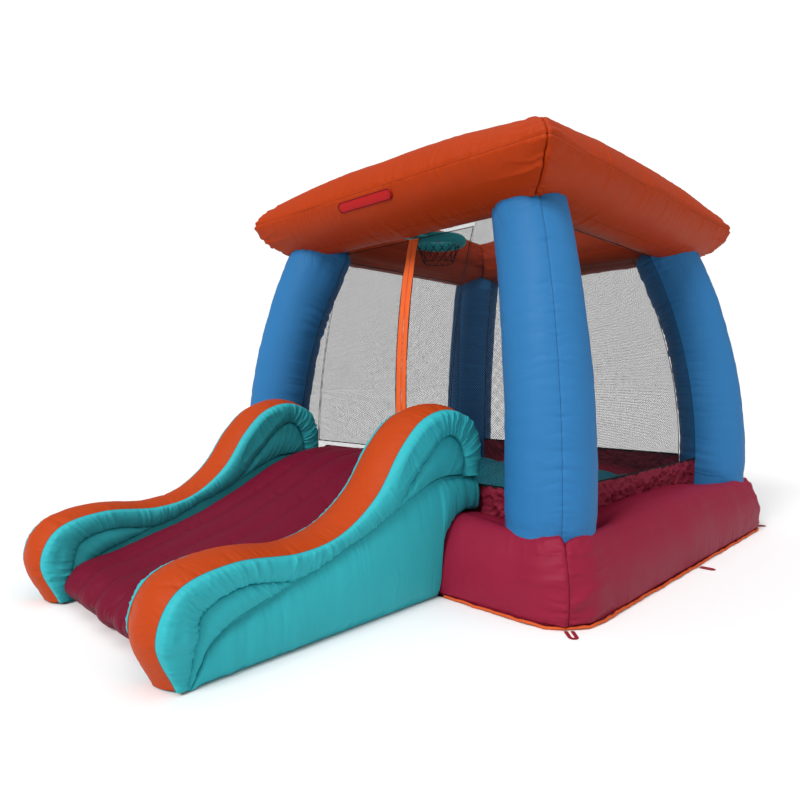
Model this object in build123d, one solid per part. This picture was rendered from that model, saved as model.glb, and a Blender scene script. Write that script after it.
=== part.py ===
from build123d import *
import math
import os

# Inflatable bounce house with a slide, in millimetres, +Z up and the slide towards -Y.
# Every air chamber is a closed skin round an empty cavity. Cloth and net are thin plates.
# The house is drawn about its own centre, then everything moves so that the origin is the
# middle of the whole object's footprint, on the ground.

# ---- driving dimensions ----
SKIN = 4.0                      # drawn thickness of an inflated chamber's cloth
CLOTH = 3.0                     # drawn thickness of single cloth, net and webbing
FIT = 4.0                       # clearance between net edges and their neighbours

BASE_HALF = 1222.0              # ground tube, outer face from the centre
BASE_INNER = 800.0              # ground tube, inner face from the centre
BASE_TOP = 356.0
BASE_CREST = 1045.0             # distance of the ground tube's highest line from the centre
BASE_CORNER = 200.0             # plan radius of the ground tube's corners
PIPING_OUT = 16.0               # how far the hem piping stands out
PIPING_HEIGHT = 14.0

FLOOR_TOP = 330.0
FLOOR_WEBS = 4
WEB_GAP = 1.0                   # seam allowance between an inner web and the cloth it is sewn to

COLUMN_RADIUS = 183.0
COLUMN_SPREAD = 975.0           # column centre from the house centre, along X and along Y
COLUMN_BOTTOM = 300.0
COLUMN_BEND_START = 450.0       # straight below, bending inwards above
COLUMN_BEND_RADIUS = 2806.0
COLUMN_TOP = 1749.0

CANOPY_HALF_X = 1030.0          # outer seam of the canopy ring
CANOPY_HALF_Y = 1100.0
CANOPY_SEAM_Z = 1880.0
CANOPY_WIDTH = 432.0
CANOPY_TOP = 2018.0
CANOPY_BOTTOM = 1684.0

NET_INSET = 35.0                # nets hang this far inside the column centres
NET_BOTTOM = 440.0
NET_TOP = 1600.0
ROOF_NET_Z = 1800.0

SLIDE_LEFT = -600.0             # inner faces of the two slide walls
SLIDE_RIGHT = 390.0
WALL_THICK_LEFT = 184.0
WALL_THICK_RIGHT = 196.0
SUPPORT_FLARE = 18.0            # the support chambers stand this far outside the walls
POCKET_DEPTH = 6.0
POCKET_MARGIN = 18.0
BED_WEBS = 4
SLIDE_FRONT = -2460.0
SUPPORT_BACK = -972.0
TOE_IN = 4.0                    # degrees that the left wall turns in, so that the slide narrows to its foot

ENTRY_BOTTOM = 575.0
ENTRY_SLIT_TOP_X = -14.0        # the slit between the two entry nets leans a little
ENTRY_SLIT_BOTTOM_X = 88.0
BINDING_WIDTH = 36.0
FLAP_GAP = 4.0

HOOP_CENTRE = (-20.0, -530.0, 1716.0)
HOOP_RADIUS = 130.0
HOOP_TUBE = 27.0
HOOP_NET_DROP = 95.0
HOOP_NET_RADII = (118.0, 84.0)

BADGE_X = (-233.0, 167.0)
BADGE_Z = (1806.0, 1858.0)

INLET_X = 420.0
INLET_Z = 135.0
INLET_RADIUS = 95.0
INLET_LENGTH = 280.0
INLET_STRAP_OUT = 210.0         # tie strap's distance from the ground tube
INLET_STRAP_WIDTH = 25.0

VENT_X = -420.0
VENT_Z = 150.0
VENT_LENGTH = 320.0
VENT_TAPE_HEIGHT = 32.0
SLIDER_SIZE = (16.0, 7.0, 12.0)
VENT_FLAP_SIZE = (370.0, 84.0)

LOOP_WIDTH = 40.0
LOOP_REACH = 70.0
LOOP_STRAP = 10.0
LOOP_THICK = 4.0
HEM_REACH = 18.0                # hinge line of the anchor loops, outside the ground tube

TOE_IN_SIN = math.sin(math.radians(TOE_IN))
TOE_IN_COS = math.cos(math.radians(TOE_IN))
FRONT_END = SUPPORT_BACK - WALL_THICK_LEFT * TOE_IN_SIN - (SUPPORT_BACK - SLIDE_FRONT) * TOE_IN_COS
INLET_END = BASE_HALF + INLET_LENGTH
HOUSE_Y = -(FRONT_END + INLET_END) / 2

SIDES = {"front": (0, -1), "right": (1, 0), "back": (0, 1), "left": (-1, 0)}
CORNERS = {
    "front_right": (1, -1),
    "back_right": (1, 1),
    "back_left": (-1, 1),
    "front_left": (-1, -1),
}


# ---- shared shapes ----
def column_centre(z):
    """Distance of the column's centre line from the house centre, along X and along Y."""
    rise = max(0.0, z - COLUMN_BEND_START)
    lean = COLUMN_BEND_RADIUS - math.sqrt(COLUMN_BEND_RADIUS**2 - rise**2)
    return COLUMN_SPREAD - lean / math.sqrt(2)


def side_plane(side):
    """Section plane of a side: local x points outwards, local y points up."""
    out = Vector(*SIDES[side], 0)
    return Plane(origin=(0, 0, 0), x_dir=out, z_dir=out.cross(Vector(0, 0, 1)))


def half_sizes(side, half_x, half_y):
    """How far out the side's face is, and how far it runs to either corner."""
    return (half_x, half_y) if SIDES[side][0] else (half_y, half_x)


def wedge(side, half_x, half_y, inset):
    """Prism over one side of a ring, cut at 45 degrees at both corners."""
    out, along = half_sizes(side, half_x, half_y)
    spare = 100
    depth = 600
    shift = inset * math.sqrt(2)
    outline = [
        (out + spare, -along - spare + shift),
        (out + spare, along + spare - shift),
        (out - depth, along - depth - shift),
        (out - depth, -along + depth + shift),
    ]
    face = make_face(Polyline(*outline, close=True))
    return turned(extrude(face, amount=2600), side)


def slab(size_x, size_y, low, high, radius):
    """Upright plate or prism with rounded plan corners, centred on the house."""
    plate = extrude(RectangleRounded(size_x, size_y, radius), amount=high - low)
    return plate.moved(Location((0, 0, low)))


def block(x_range, y_range, z_range):
    """Plain block between two corners."""
    low = (x_range[0], y_range[0], z_range[0])
    size = (x_range[1] - x_range[0], y_range[1] - y_range[0], z_range[1] - z_range[0])
    return Box(*size, align=(Align.MIN, Align.MIN, Align.MIN)).moved(Location(low))


def prism_x(face, x_low, x_high):
    """Extrudes a face drawn as (y, z) between two X positions."""
    placed = Plane.YZ.offset(x_low) * face
    return extrude(placed, amount=x_high - x_low, dir=(1, 0, 0))


def prism_y(face, y_low, y_high):
    """Extrudes a face drawn as (x, z) between two Y positions."""
    placed = Plane.XZ.offset(-y_low) * face
    return extrude(placed, amount=y_high - y_low, dir=(0, 1, 0))


def inset_points(points, inset):
    """Moves the corners of a closed outline inwards, so that its edges move by the inset."""
    count = len(points)
    turn = sum(points[i - 1][0] * points[i][1] - points[i][0] * points[i - 1][1] for i in range(count))
    inward = 1 if turn > 0 else -1
    moved = []
    for i in range(count):
        here = Vector(*points[i])
        before = (here - Vector(*points[i - 1])).normalized()
        after = (Vector(*points[(i + 1) % count]) - here).normalized()
        bisector = (before + after).normalized()
        normal = Vector(-bisector.Y, bisector.X) * inward
        reach = inset / max(0.5, bisector.dot(after))
        moved.append((here.X + normal.X * reach, here.Y + normal.Y * reach))
    return moved


def smooth_outline(points, straight_points=(), inset=0.0):
    """Closed face: a smooth curve through the points, closed by straight runs, then inset."""
    outline = inset_points(list(points) + list(straight_points), inset)
    curve = Spline(*outline[: len(points)])
    closing = Polyline(*outline[len(points) - 1 :], outline[0])
    return make_face(curve.edges() + closing.edges())


def biggest_face(shape):
    return shape.faces().sort_by(SortBy.AREA)[-1]


# ---- ground ring, floor and hem ----
def base_section(skin):
    """Ground tube's section as (distance outwards, height), shrunk by a skin."""
    ground = CLOTH + skin
    foot = (BASE_HALF - skin, ground)
    shoulder = (BASE_HALF - 42 - skin, 262)
    crest = (BASE_CREST, BASE_TOP - skin)
    inner_shoulder = (BASE_INNER + skin, 250)
    inner_foot = (BASE_INNER + skin, ground)
    side = ThreePointArc(foot, (BASE_HALF - 9 - skin, 150), shoulder)
    top = ThreePointArc(shoulder, (1121 - 0.7 * skin, 331 - 0.7 * skin), crest)
    inner_top = ThreePointArc(crest, (900 + 0.7 * skin, 329 - 0.7 * skin), inner_shoulder)
    closing = Polyline(inner_shoulder, inner_foot, foot)
    return make_face(side.edges() + top.edges() + inner_top.edges() + closing.edges())


def turned(shape, side):
    """A shape drawn for the right side, turned round to another side."""
    return shape.rotate(Axis.Z, math.degrees(math.atan2(SIDES[side][1], SIDES[side][0])))


def base_tube_solid(skin):
    """The right ground tube, shrunk by a skin."""
    section = side_plane("right") * base_section(skin)
    tube = extrude(section, amount=BASE_HALF, both=True)
    tube = tube & wedge("right", BASE_HALF, BASE_HALF, skin)
    size = 2 * (BASE_HALF - skin)
    return tube & slab(size, size, 0, 500, BASE_CORNER - skin)


def inlet_cylinder(radius, start, length):
    plane = Plane(origin=(INLET_X, start, INLET_Z), z_dir=(0, 1, 0))
    return extrude(plane * Circle(radius), amount=length)


def ground_parts():
    parts = {}
    ring_tube = base_tube_solid(0) - base_tube_solid(SKIN)
    for side in SIDES:
        tube = turned(ring_tube, side)
        if side == "back":
            tube = tube - inlet_cylinder(INLET_RADIUS, BASE_HALF - 60, 100)
        parts[f"base_tube_{side}"] = tube
    size = 2 * BASE_HALF
    parts["ground_sheet"] = slab(size, size, 0, CLOTH, BASE_CORNER)
    piping_size = size + 2 * PIPING_OUT
    outer = slab(piping_size, piping_size, 0, PIPING_HEIGHT, BASE_CORNER + PIPING_OUT)
    inner = slab(size + 1, size + 1, -1, PIPING_HEIGHT + 1, BASE_CORNER + 0.5)
    slide_x = (SLIDE_LEFT - WALL_THICK_LEFT - 30, SLIDE_RIGHT + WALL_THICK_RIGHT + 30)
    slide_gap = block(slide_x, (-BASE_HALF - 50, -BASE_HALF + 50), (-5, 50))
    parts["base_piping"] = outer - inner - slide_gap
    floor_size = 2 * BASE_INNER
    floor = block((-BASE_INNER, BASE_INNER), (-BASE_INNER, BASE_INNER), (CLOTH, FLOOR_TOP))
    inside = BASE_INNER - SKIN
    air = block((-inside, inside), (-inside, inside), (CLOTH + SKIN, FLOOR_TOP - SKIN))
    parts["bounce_floor"] = floor - air
    pitch = floor_size / (FLOOR_WEBS + 1)
    webs = []
    for number in range(FLOOR_WEBS):
        x = -BASE_INNER + pitch * (number + 1)
        web_z = (CLOTH + SKIN + WEB_GAP, FLOOR_TOP - SKIN - WEB_GAP)
        web = block((x - CLOTH / 2, x + CLOTH / 2), (-inside + 90, inside - 90), web_z)
        webs.append(web)
    parts["floor_webs"] = Compound(children=webs)
    return parts


# ---- columns and canopy ----
def column_solid(corner, radius, low, high):
    """Round column: straight up, then bending towards the middle of the house."""
    sign_x, sign_y = CORNERS[corner]
    steps = [low, COLUMN_BEND_START, (COLUMN_BEND_START + high) / 2, high]
    points = []
    for z in steps:
        reach = column_centre(z)
        points.append((sign_x * reach, sign_y * reach, z))
    path = Wire(Line(points[0], points[1]).edges() + ThreePointArc(*points[1:]).edges())
    start = Plane(origin=points[0], z_dir=(0, 0, 1))
    return sweep(start * Circle(radius), path=path)


def canopy_section(side, grow):
    """Canopy tube's section as (distance outwards, height), grown or shrunk all round."""
    out, _ = half_sizes(side, CANOPY_HALF_X, CANOPY_HALF_Y)
    seam = (out + grow, CANOPY_SEAM_Z)
    over_inner = (out - CANOPY_WIDTH + 27 - 0.9 * grow, 1918 + 0.5 * grow)
    low_inner = (out - 335 - 0.6 * grow, 1711 - 0.8 * grow)
    crease = (out - 165 + 0.5 * grow, 1704 - 0.9 * grow)
    top = ThreePointArc(seam, (out - 200, CANOPY_TOP + grow), over_inner)
    inner = ThreePointArc(over_inner, (out - CANOPY_WIDTH - grow, 1795), low_inner)
    under = ThreePointArc(low_inner, (out - 250, CANOPY_BOTTOM - grow), crease)
    slope = ThreePointArc(crease, (out - 66 + 0.8 * grow, 1775 - 0.6 * grow), seam)
    return make_face(top.edges() + inner.edges() + under.edges() + slope.edges())


def canopy_solid(side, skin):
    _, along = half_sizes(side, CANOPY_HALF_X, CANOPY_HALF_Y)
    section = side_plane(side) * canopy_section(side, -skin)
    tube = extrude(section, amount=along, both=True)
    return tube & wedge(side, CANOPY_HALF_X, CANOPY_HALF_Y, skin)


def frame_parts(base_solids, canopy_solids):
    parts = {}
    for corner in CORNERS:
        column = column_solid(corner, COLUMN_RADIUS, COLUMN_BOTTOM, COLUMN_TOP)
        for neighbour in base_solids + canopy_solids:
            column = column - neighbour
        air = column_solid(corner, COLUMN_RADIUS - SKIN, BASE_TOP + SKIN, CANOPY_BOTTOM - SKIN)
        parts[f"column_{corner}"] = column - air
    for side in SIDES:
        parts[f"canopy_tube_{side}"] = canopy_solid(side, 0) - canopy_solid(side, SKIN)
    half_x = CANOPY_HALF_X - CANOPY_WIDTH
    half_y = CANOPY_HALF_Y - CANOPY_WIDTH
    roof = block((-half_x - 2, half_x + 2), (-half_y - 2, half_y + 2), (ROOF_NET_Z - CLOTH, ROOF_NET_Z))
    for tube in canopy_solids:
        roof = roof - tube
    parts["roof_net"] = roof
    return parts


def badge_part(canopy_front):
    """Blank oval patch lying on the front slope of the canopy."""
    thick = 3.0
    section = side_plane("front") * canopy_section("front", thick)
    layer = extrude(section, amount=600, both=True)
    height = BADGE_Z[1] - BADGE_Z[0]
    width = BADGE_X[1] - BADGE_X[0]
    pill = SlotOverall(width, height)
    centre = Location(((BADGE_X[0] + BADGE_X[1]) / 2, (BADGE_Z[0] + BADGE_Z[1]) / 2))
    cutter = prism_y(centre * pill, -CANOPY_HALF_Y - 20, -CANOPY_HALF_Y + 120)
    return (layer & cutter) - canopy_front


# ---- nets and skirts ----
def net_line(z, offset):
    return column_centre(z) - NET_INSET + offset


def net_strip(side, low, high):
    """Thin curved strip that follows the columns' lean, as wide as the whole house."""
    middle = (low + high) / 2
    outside = [(net_line(z, CLOTH / 2), z) for z in (low, middle, high)]
    inside = [(net_line(z, -CLOTH / 2), z) for z in (high, middle, low)]
    edges = edge_line(outside) + edge_line(inside)
    edges += Line(outside[-1], inside[0]).edges() + Line(inside[-1], outside[0]).edges()
    return extrude(side_plane(side) * make_face(edges), amount=COLUMN_SPREAD, both=True)


def panel_edge(z):
    """Where a net panel's edge meets the side of a column, which is an ellipse on a level cut."""
    rise = max(0.0, z - COLUMN_BEND_START)
    upright = math.sqrt(COLUMN_BEND_RADIUS**2 - rise**2) / COLUMN_BEND_RADIUS
    half_width = COLUMN_RADIUS * math.sqrt((1 + 1 / upright**2) / 2)
    return column_centre(z) - half_width - FIT


def curved_window(low, high, left, right):
    """Face as (along the side, height) whose edges are functions of the height."""
    levels = (low, (low + high) / 2, high)
    left_points = [(left(z), z) for z in levels]
    right_points = [(right(z), z) for z in reversed(levels)]
    edges = edge_line(left_points) + edge_line(right_points)
    edges += Line(left_points[-1], right_points[0]).edges()
    edges += Line(right_points[-1], left_points[0]).edges()
    return make_face(edges)


def edge_line(points):
    """An arc through three points, or a line when they are in a row."""
    first, middle, last = (Vector(*point) for point in points)
    if abs((middle - first).cross(last - first).Z) < 1.0:
        return Line(points[0], points[-1]).edges()
    return ThreePointArc(*points).edges()


def side_panel(side, low, high, left, right):
    """Piece of a side's net strip between two edges; along X for front and back."""
    window = curved_window(low, high, left, right)
    reach = COLUMN_SPREAD + 100
    if SIDES[side][0]:
        near, far = sorted((0, SIDES[side][0] * reach))
        cutter = prism_x(window, near, far)
    else:
        near, far = sorted((0, SIDES[side][1] * reach))
        cutter = prism_y(window, near, far)
    return net_strip(side, low, high) & cutter


def slit_x(z):
    share = (z - ENTRY_BOTTOM) / (NET_TOP - ENTRY_BOTTOM)
    return ENTRY_SLIT_BOTTOM_X + share * (ENTRY_SLIT_TOP_X - ENTRY_SLIT_BOTTOM_X)


def net_parts(base_solids):
    parts = {}
    inner_left = SLIDE_LEFT - FIT
    inner_right = SLIDE_RIGHT + FIT
    spans = {
        "right": ("right", lambda z: -panel_edge(z), panel_edge),
        "back": ("back", lambda z: -panel_edge(z), panel_edge),
        "left": ("left", lambda z: -panel_edge(z), panel_edge),
        "front_left": ("front", lambda z: -panel_edge(z), lambda z: inner_left),
        "front_right": ("front", lambda z: inner_right, panel_edge),
    }
    skirt_low = 290
    for name, (side, left, right) in spans.items():
        parts[f"net_{name}"] = side_panel(side, NET_BOTTOM, NET_TOP, left, right)
        skirt = side_panel(side, skirt_low, NET_BOTTOM, left, right)
        for tube in base_solids:
            skirt = skirt - tube
        parts[f"skirt_{name}"] = skirt
    flap_top = NET_TOP - 5
    flap_left = inner_left + FLAP_GAP
    flap_right = inner_right - FLAP_GAP
    half_gap = 1.5
    full = half_gap + BINDING_WIDTH
    entry = {
        "entry_net_left": (lambda z: flap_left, lambda z: slit_x(z) - full),
        "entry_binding_left": (lambda z: slit_x(z) - full, lambda z: slit_x(z) - half_gap),
        "entry_binding_right": (lambda z: slit_x(z) + half_gap, lambda z: slit_x(z) + full),
        "entry_net_right": (lambda z: slit_x(z) + full, lambda z: flap_right),
    }
    for name, (left, right) in entry.items():
        parts[name] = side_panel("front", ENTRY_BOTTOM, flap_top, left, right)
    return parts


# ---- hoop inside the canopy ----
def hoop_parts(canopy_front):
    parts = {}
    centre = Location(HOOP_CENTRE)
    outer = Torus(HOOP_RADIUS, HOOP_TUBE).moved(centre)
    parts["hoop_ring"] = outer - Torus(HOOP_RADIUS, HOOP_TUBE - CLOTH).moved(centre)
    x, y, z = HOOP_CENTRE
    tabs = []
    for offset in (-55, 55):
        tab = block((x + offset - 15, x + offset + 15), (y - 250, y - HOOP_RADIUS + 10), (z - 2, z + 2))
        tabs.append((tab - outer - canopy_front).solids().sort_by(Axis.Y)[-1])
    parts["hoop_tabs"] = Compound(children=tabs)
    top = z - HOOP_TUBE + 2
    bottom = top - HOOP_NET_DROP
    wide, narrow = HOOP_NET_RADII
    middle = Location((x, y, (top + bottom) / 2))
    cone = Cone(narrow, wide, HOOP_NET_DROP).moved(middle)
    bore = Cone(narrow - CLOTH, wide - CLOTH, HOOP_NET_DROP).moved(middle)
    parts["hoop_net"] = (cone - bore) - outer
    return parts


# ---- slide, drawn as (y, z) sections ----
WALL_TOP_LINE = [
    (-958, 500),
    (-962, 640),
    (-1025, 752),
    (-1170, 800),
    (-1330, 762),
    (-1460, 650),
    (-1590, 480),
    (-1760, 366),
    (-1950, 332),
    (-2200, 352),
    (-2390, 308),
    (SLIDE_FRONT, 170),
    (-2400, 12),
]
SUPPORT_LINE = [
    (-2360, 0),
    (-2280, 128),
    (-2010, 228),
    (-1680, 338),
    (-1410, 442),
    (-1220, 505),
    (SUPPORT_BACK, 500),
]
BED_LINE = [
    (-2335, 0),
    (-2382, 70),
    (-2330, 146),
    (-2140, 186),
    (-1760, 285),
    (-1490, 392),
    (-1300, 478),
    (-1100, 532),
    (-880, 545),
]
BED_BACK_Y = -862
POCKET_UPPER = [
    (-1075, 515),
    (-1068, 580),
    (-1090, 650),
    (-1150, 690),
    (-1230, 665),
    (-1310, 605),
    (-1380, 530),
    (-1420, 462),
]
POCKET_LOWER = [
    (-1960, 240),
    (-2080, 270),
    (-2240, 262),
    (-2318, 222),
    (-2338, 165),
    (-2322, 128),
]


def without_house(face, gap=0.0):
    """Cuts the front ground tube and the ground sheet out of a (y, z) face."""
    tube = mirror(base_section(-gap), about=Plane.YZ)
    edge = -BASE_HALF - gap
    sheet = make_face(Polyline((edge, -50), (edge, CLOTH + gap), (0, CLOTH + gap), (0, -50), close=True))
    return biggest_face(face - tube - sheet)


def support_face(inset=0.0, clear=0.0):
    return without_house(smooth_outline(SUPPORT_LINE, [(SUPPORT_BACK, 0)], inset), inset + clear)


def bed_face(inset=0.0):
    return without_house(smooth_outline(BED_LINE, [(BED_BACK_Y, 520), (BED_BACK_Y, 0)], inset), inset)


def wall_face(inset=0.0):
    """A side wall: everything between its top line and the support under it."""
    outline = smooth_outline(WALL_TOP_LINE, [(-2380, 2), (-2366, 2)] + SUPPORT_LINE[1:], inset)
    raised = [(y, z + inset) for y, z in SUPPORT_LINE]
    return biggest_face(outline - smooth_outline(raised, [(-1000, -50), (-2360, -50)]))


def band_face(wall):
    """Strip of cloth along the wall's top, rear and front edge."""
    lowered = smooth_outline([(y, z + 8) for y, z in SUPPORT_LINE], [(-1000, -50), (-2360, -50)])
    return biggest_face(wall - wall_face(SKIN) - lowered)


def pocket_face(points):
    """Outline of a sewn-in side panel, kept off the wall's own edge seam."""
    return biggest_face(smooth_outline(points) & wall_face(POCKET_MARGIN))


def toed_in(part):
    """Turns a piece of the left wall about the wall's rear inner corner."""
    return part.rotate(Axis((SLIDE_LEFT, SUPPORT_BACK, 0), (0, 0, 1)), TOE_IN)


def bed_plan(inset):
    """Block whose left face follows the toed-in wall, for trimming the slide bed."""
    left = SLIDE_LEFT + 1 + inset
    right = SLIDE_RIGHT - 1 - inset
    front = SLIDE_FRONT - 100
    front_left = left + (SUPPORT_BACK - front) * TOE_IN_SIN / TOE_IN_COS
    outline = [(left, 0), (left, SUPPORT_BACK), (front_left, front), (right, front), (right, 0)]
    return extrude(make_face(Polyline(*outline, close=True)), amount=700, dir=(0, 0, 1))


def slide_parts():
    parts = {}
    bed = bed_face()
    air = bed_face(SKIN)
    bed_x = (SLIDE_LEFT + 1, SLIDE_RIGHT - 1)
    chamber = prism_x(bed, *bed_x) & bed_plan(0)
    parts["slide_bed"] = chamber - (prism_x(air, *bed_x) & bed_plan(SKIN))
    pitch = (bed_x[1] - bed_x[0]) / (BED_WEBS + 1)
    web_face = bed_face(SKIN + WEB_GAP)
    web_reach = block((-2000, 2000), (-2260, -1250), (-10, 600))
    webs = []
    for number in range(BED_WEBS):
        x = bed_x[0] + pitch * (number + 1)
        webs.append(prism_x(web_face, x - CLOTH / 2, x + CLOTH / 2) & web_reach)
    parts["slide_bed_webs"] = Compound(children=webs)

    wall = wall_face()
    band = band_face(wall)
    body = wall - band
    core = wall_face(2 * SKIN)
    pockets = [pocket_face(points) for points in (POCKET_UPPER, POCKET_LOWER)]
    spans = {
        "left": (SLIDE_LEFT - WALL_THICK_LEFT, SLIDE_LEFT, -SUPPORT_FLARE, 0, 2.0),
        "right": (SLIDE_RIGHT, SLIDE_RIGHT + WALL_THICK_RIGHT, 0, SUPPORT_FLARE, 0.0),
    }
    for name, (low, high, flare_low, flare_high, clear) in spans.items():
        chamber = prism_x(body, low, high)
        panels = []
        for pocket in pockets:
            chamber = chamber - prism_x(pocket, low - 1, low + POCKET_DEPTH)
            chamber = chamber - prism_x(pocket, high - POCKET_DEPTH, high + 1)
            panels.append(prism_x(pocket, low + POCKET_DEPTH - CLOTH, low + POCKET_DEPTH))
            panels.append(prism_x(pocket, high - POCKET_DEPTH, high - POCKET_DEPTH + CLOTH))
        cavity = prism_x(core, low + POCKET_DEPTH + SKIN, high - POCKET_DEPTH - SKIN)
        parts[f"slide_wall_{name}"] = chamber - cavity
        parts[f"slide_wall_{name}_band"] = prism_x(band, low, high)
        parts[f"slide_wall_{name}_panels"] = Compound(children=panels)
        low, high = low + flare_low, high + flare_high
        hollow = prism_x(support_face(SKIN, clear), low + SKIN, high - SKIN)
        parts[f"slide_support_{name}"] = prism_x(support_face(0.0, clear), low, high) - hollow
    for name in [name for name in parts if "_left" in name]:
        parts[name] = toed_in(parts[name])
    return parts


# ---- air inlet and deflation vent, both on the back ----
def inlet_parts(base_back):
    sleeve = inlet_cylinder(INLET_RADIUS + CLOTH, BASE_HALF - 40, INLET_LENGTH + 40)
    sleeve = sleeve - inlet_cylinder(INLET_RADIUS, BASE_HALF - 60, INLET_LENGTH + 100) - base_back
    start = BASE_HALF + INLET_STRAP_OUT
    strap = inlet_cylinder(INLET_RADIUS + 2 * CLOTH, start, INLET_STRAP_WIDTH)
    strap = strap - inlet_cylinder(INLET_RADIUS + CLOTH, start - 1, INLET_STRAP_WIDTH + 2)
    buckle = block((INLET_X - 20, INLET_X + 20), (start - 4, start + INLET_STRAP_WIDTH + 4), (0, 10))
    buckle = buckle.moved(Location((0, 0, INLET_Z + INLET_RADIUS + 2 * CLOTH)))
    return {"inlet_sleeve": sleeve, "inlet_strap": strap, "inlet_buckle": buckle}


def vent_parts(base_back):
    """Zipped air outlet: two tapes side by side, a slider on them and a cover flap."""
    low, high = VENT_X - VENT_LENGTH / 2, VENT_X + VENT_LENGTH / 2
    face_y = BASE_HALF - 2
    half = VENT_TAPE_HEIGHT / 2
    tape = block((low, high), (face_y - 30, face_y), (VENT_Z - half, VENT_Z + half)) - base_back
    slider_x, slider_y, slider_z = SLIDER_SIZE
    slider_low = low + 10
    slider = block(
        (slider_low, slider_low + slider_x),
        (face_y + 0.4, face_y + 0.4 + slider_y),
        (VENT_Z - slider_z / 2, VENT_Z + slider_z / 2),
    )
    flap_x, flap_z = VENT_FLAP_SIZE
    flap_y = face_y + slider_y + 2
    flap_top = VENT_Z + half + 20
    flap_span = (VENT_X - flap_x / 2, VENT_X + flap_x / 2)
    flap = block(flap_span, (flap_y, flap_y + CLOTH), (flap_top - flap_z, flap_top))
    hem = block(flap_span, (face_y - 60, flap_y + CLOTH), (flap_top + 1, flap_top + 13)) - base_back
    return {"vent_zip_tape": tape, "vent_zip_slider": slider, "vent_flap": flap, "vent_flap_hem": hem}


# ---- anchor loops ----
def anchor_loop():
    """Flat webbing loop lying on the ground, reaching out along +X from its hinge line at X = 0."""
    middle = LOOP_REACH - LOOP_WIDTH / 2
    eye_length = LOOP_REACH - 2 * LOOP_STRAP - 4
    strap = Rectangle(middle, LOOP_WIDTH, align=(Align.MIN, Align.CENTER))
    end = Location((middle, 0)) * Circle(LOOP_WIDTH / 2)
    eye_place = Location((LOOP_REACH - LOOP_STRAP - eye_length / 2, 0))
    eye = eye_place * SlotOverall(eye_length, LOOP_WIDTH - 2 * LOOP_STRAP)
    return extrude(strap + end - eye, amount=LOOP_THICK)


def loop_places():
    """Name, hinge position and heading of every anchor loop."""
    reach = BASE_HALF + HEM_REACH
    corner = BASE_HALF - BASE_CORNER + (BASE_CORNER + HEM_REACH) / math.sqrt(2)
    places = {}
    for name, (sign_x, sign_y) in CORNERS.items():
        heading = math.degrees(math.atan2(sign_y, sign_x))
        places[name] = (sign_x * corner, sign_y * corner, heading)
    for name in ("right", "back", "left"):
        out_x, out_y = SIDES[name]
        places[name] = (out_x * reach, out_y * reach, math.degrees(math.atan2(out_y, out_x)))
    return places


def anchor_parts():
    parts = {}
    for name, (x, y, heading) in loop_places().items():
        loop = anchor_loop().rotate(Axis.Z, heading)
        parts[f"anchor_loop_{name}"] = loop.moved(Location((x, y, 0)))
    return parts


# ---- the whole object ----
def build():
    base_solids = [turned(base_tube_solid(0), side) for side in SIDES]
    canopy_solids = [canopy_solid(side, 0) for side in SIDES]
    names = list(SIDES)
    parts = ground_parts()
    parts.update(frame_parts(base_solids, canopy_solids))
    parts["badge_patch"] = badge_part(canopy_solids[names.index("front")])
    parts.update(net_parts(base_solids))
    parts.update(hoop_parts(canopy_solids[names.index("front")]))
    parts.update(slide_parts())
    parts.update(inlet_parts(base_solids[names.index("back")]))
    parts.update(vent_parts(base_solids[names.index("back")]))
    parts.update(anchor_parts())
    return {name: part.moved(Location((0, HOUSE_Y, 0))) for name, part in parts.items()}


def main():
    os.makedirs("parts", exist_ok=True)
    for name, part in build().items():
        export_step(part, f"parts/{name}.step")


if __name__ == "__main__":
    main()
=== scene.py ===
import math
import bmesh
import bpy
import numpy as np
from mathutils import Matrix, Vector


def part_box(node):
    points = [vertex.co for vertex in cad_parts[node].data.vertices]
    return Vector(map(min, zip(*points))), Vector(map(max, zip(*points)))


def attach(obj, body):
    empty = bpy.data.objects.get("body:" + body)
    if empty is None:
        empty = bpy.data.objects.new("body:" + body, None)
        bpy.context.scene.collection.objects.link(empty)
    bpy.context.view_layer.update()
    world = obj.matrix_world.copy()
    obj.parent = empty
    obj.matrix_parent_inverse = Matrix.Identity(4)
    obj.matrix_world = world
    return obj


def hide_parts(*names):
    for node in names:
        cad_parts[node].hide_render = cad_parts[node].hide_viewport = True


# Looks of the inflatable bounce house, in metres. Shapes are worked out about the middle of
# the house and then moved by HOUSE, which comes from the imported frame.

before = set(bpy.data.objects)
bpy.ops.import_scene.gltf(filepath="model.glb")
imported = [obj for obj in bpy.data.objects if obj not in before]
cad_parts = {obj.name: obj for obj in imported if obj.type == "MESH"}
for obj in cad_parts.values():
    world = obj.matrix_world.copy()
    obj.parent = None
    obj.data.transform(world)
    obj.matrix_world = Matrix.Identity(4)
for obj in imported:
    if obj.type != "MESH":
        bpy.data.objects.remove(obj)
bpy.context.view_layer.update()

# ---- driving dimensions ----
sheet_low, sheet_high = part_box("ground_sheet")
HOUSE = np.array([(sheet_low.x + sheet_high.x) / 2, (sheet_low.y + sheet_high.y) / 2, 0.0])
BASE_HALF = (sheet_high.x - sheet_low.x) / 2
BASE_INNER = 0.800
BASE_CORNER = 0.200
FLOOR_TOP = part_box("bounce_floor")[1].z
COLUMN_RADIUS = 0.183
COLUMN_SPREAD = 0.975
BEND_START = 0.450
BEND_RADIUS = 2.806
COLUMN_FOOT = 0.280
COLUMN_HEAD = 1.800
CANOPY_HALF = (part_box("canopy_tube_right")[1].x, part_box("canopy_tube_back")[1].y - HOUSE[1])
SEAM_Z = 1.880
NET_INSET = 0.035
NET_BOTTOM = 0.440
NET_TOP = {"front": 1.733, "back": 1.733, "right": 1.691, "left": 1.691}
FLAP_TOP = 1.700
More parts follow.
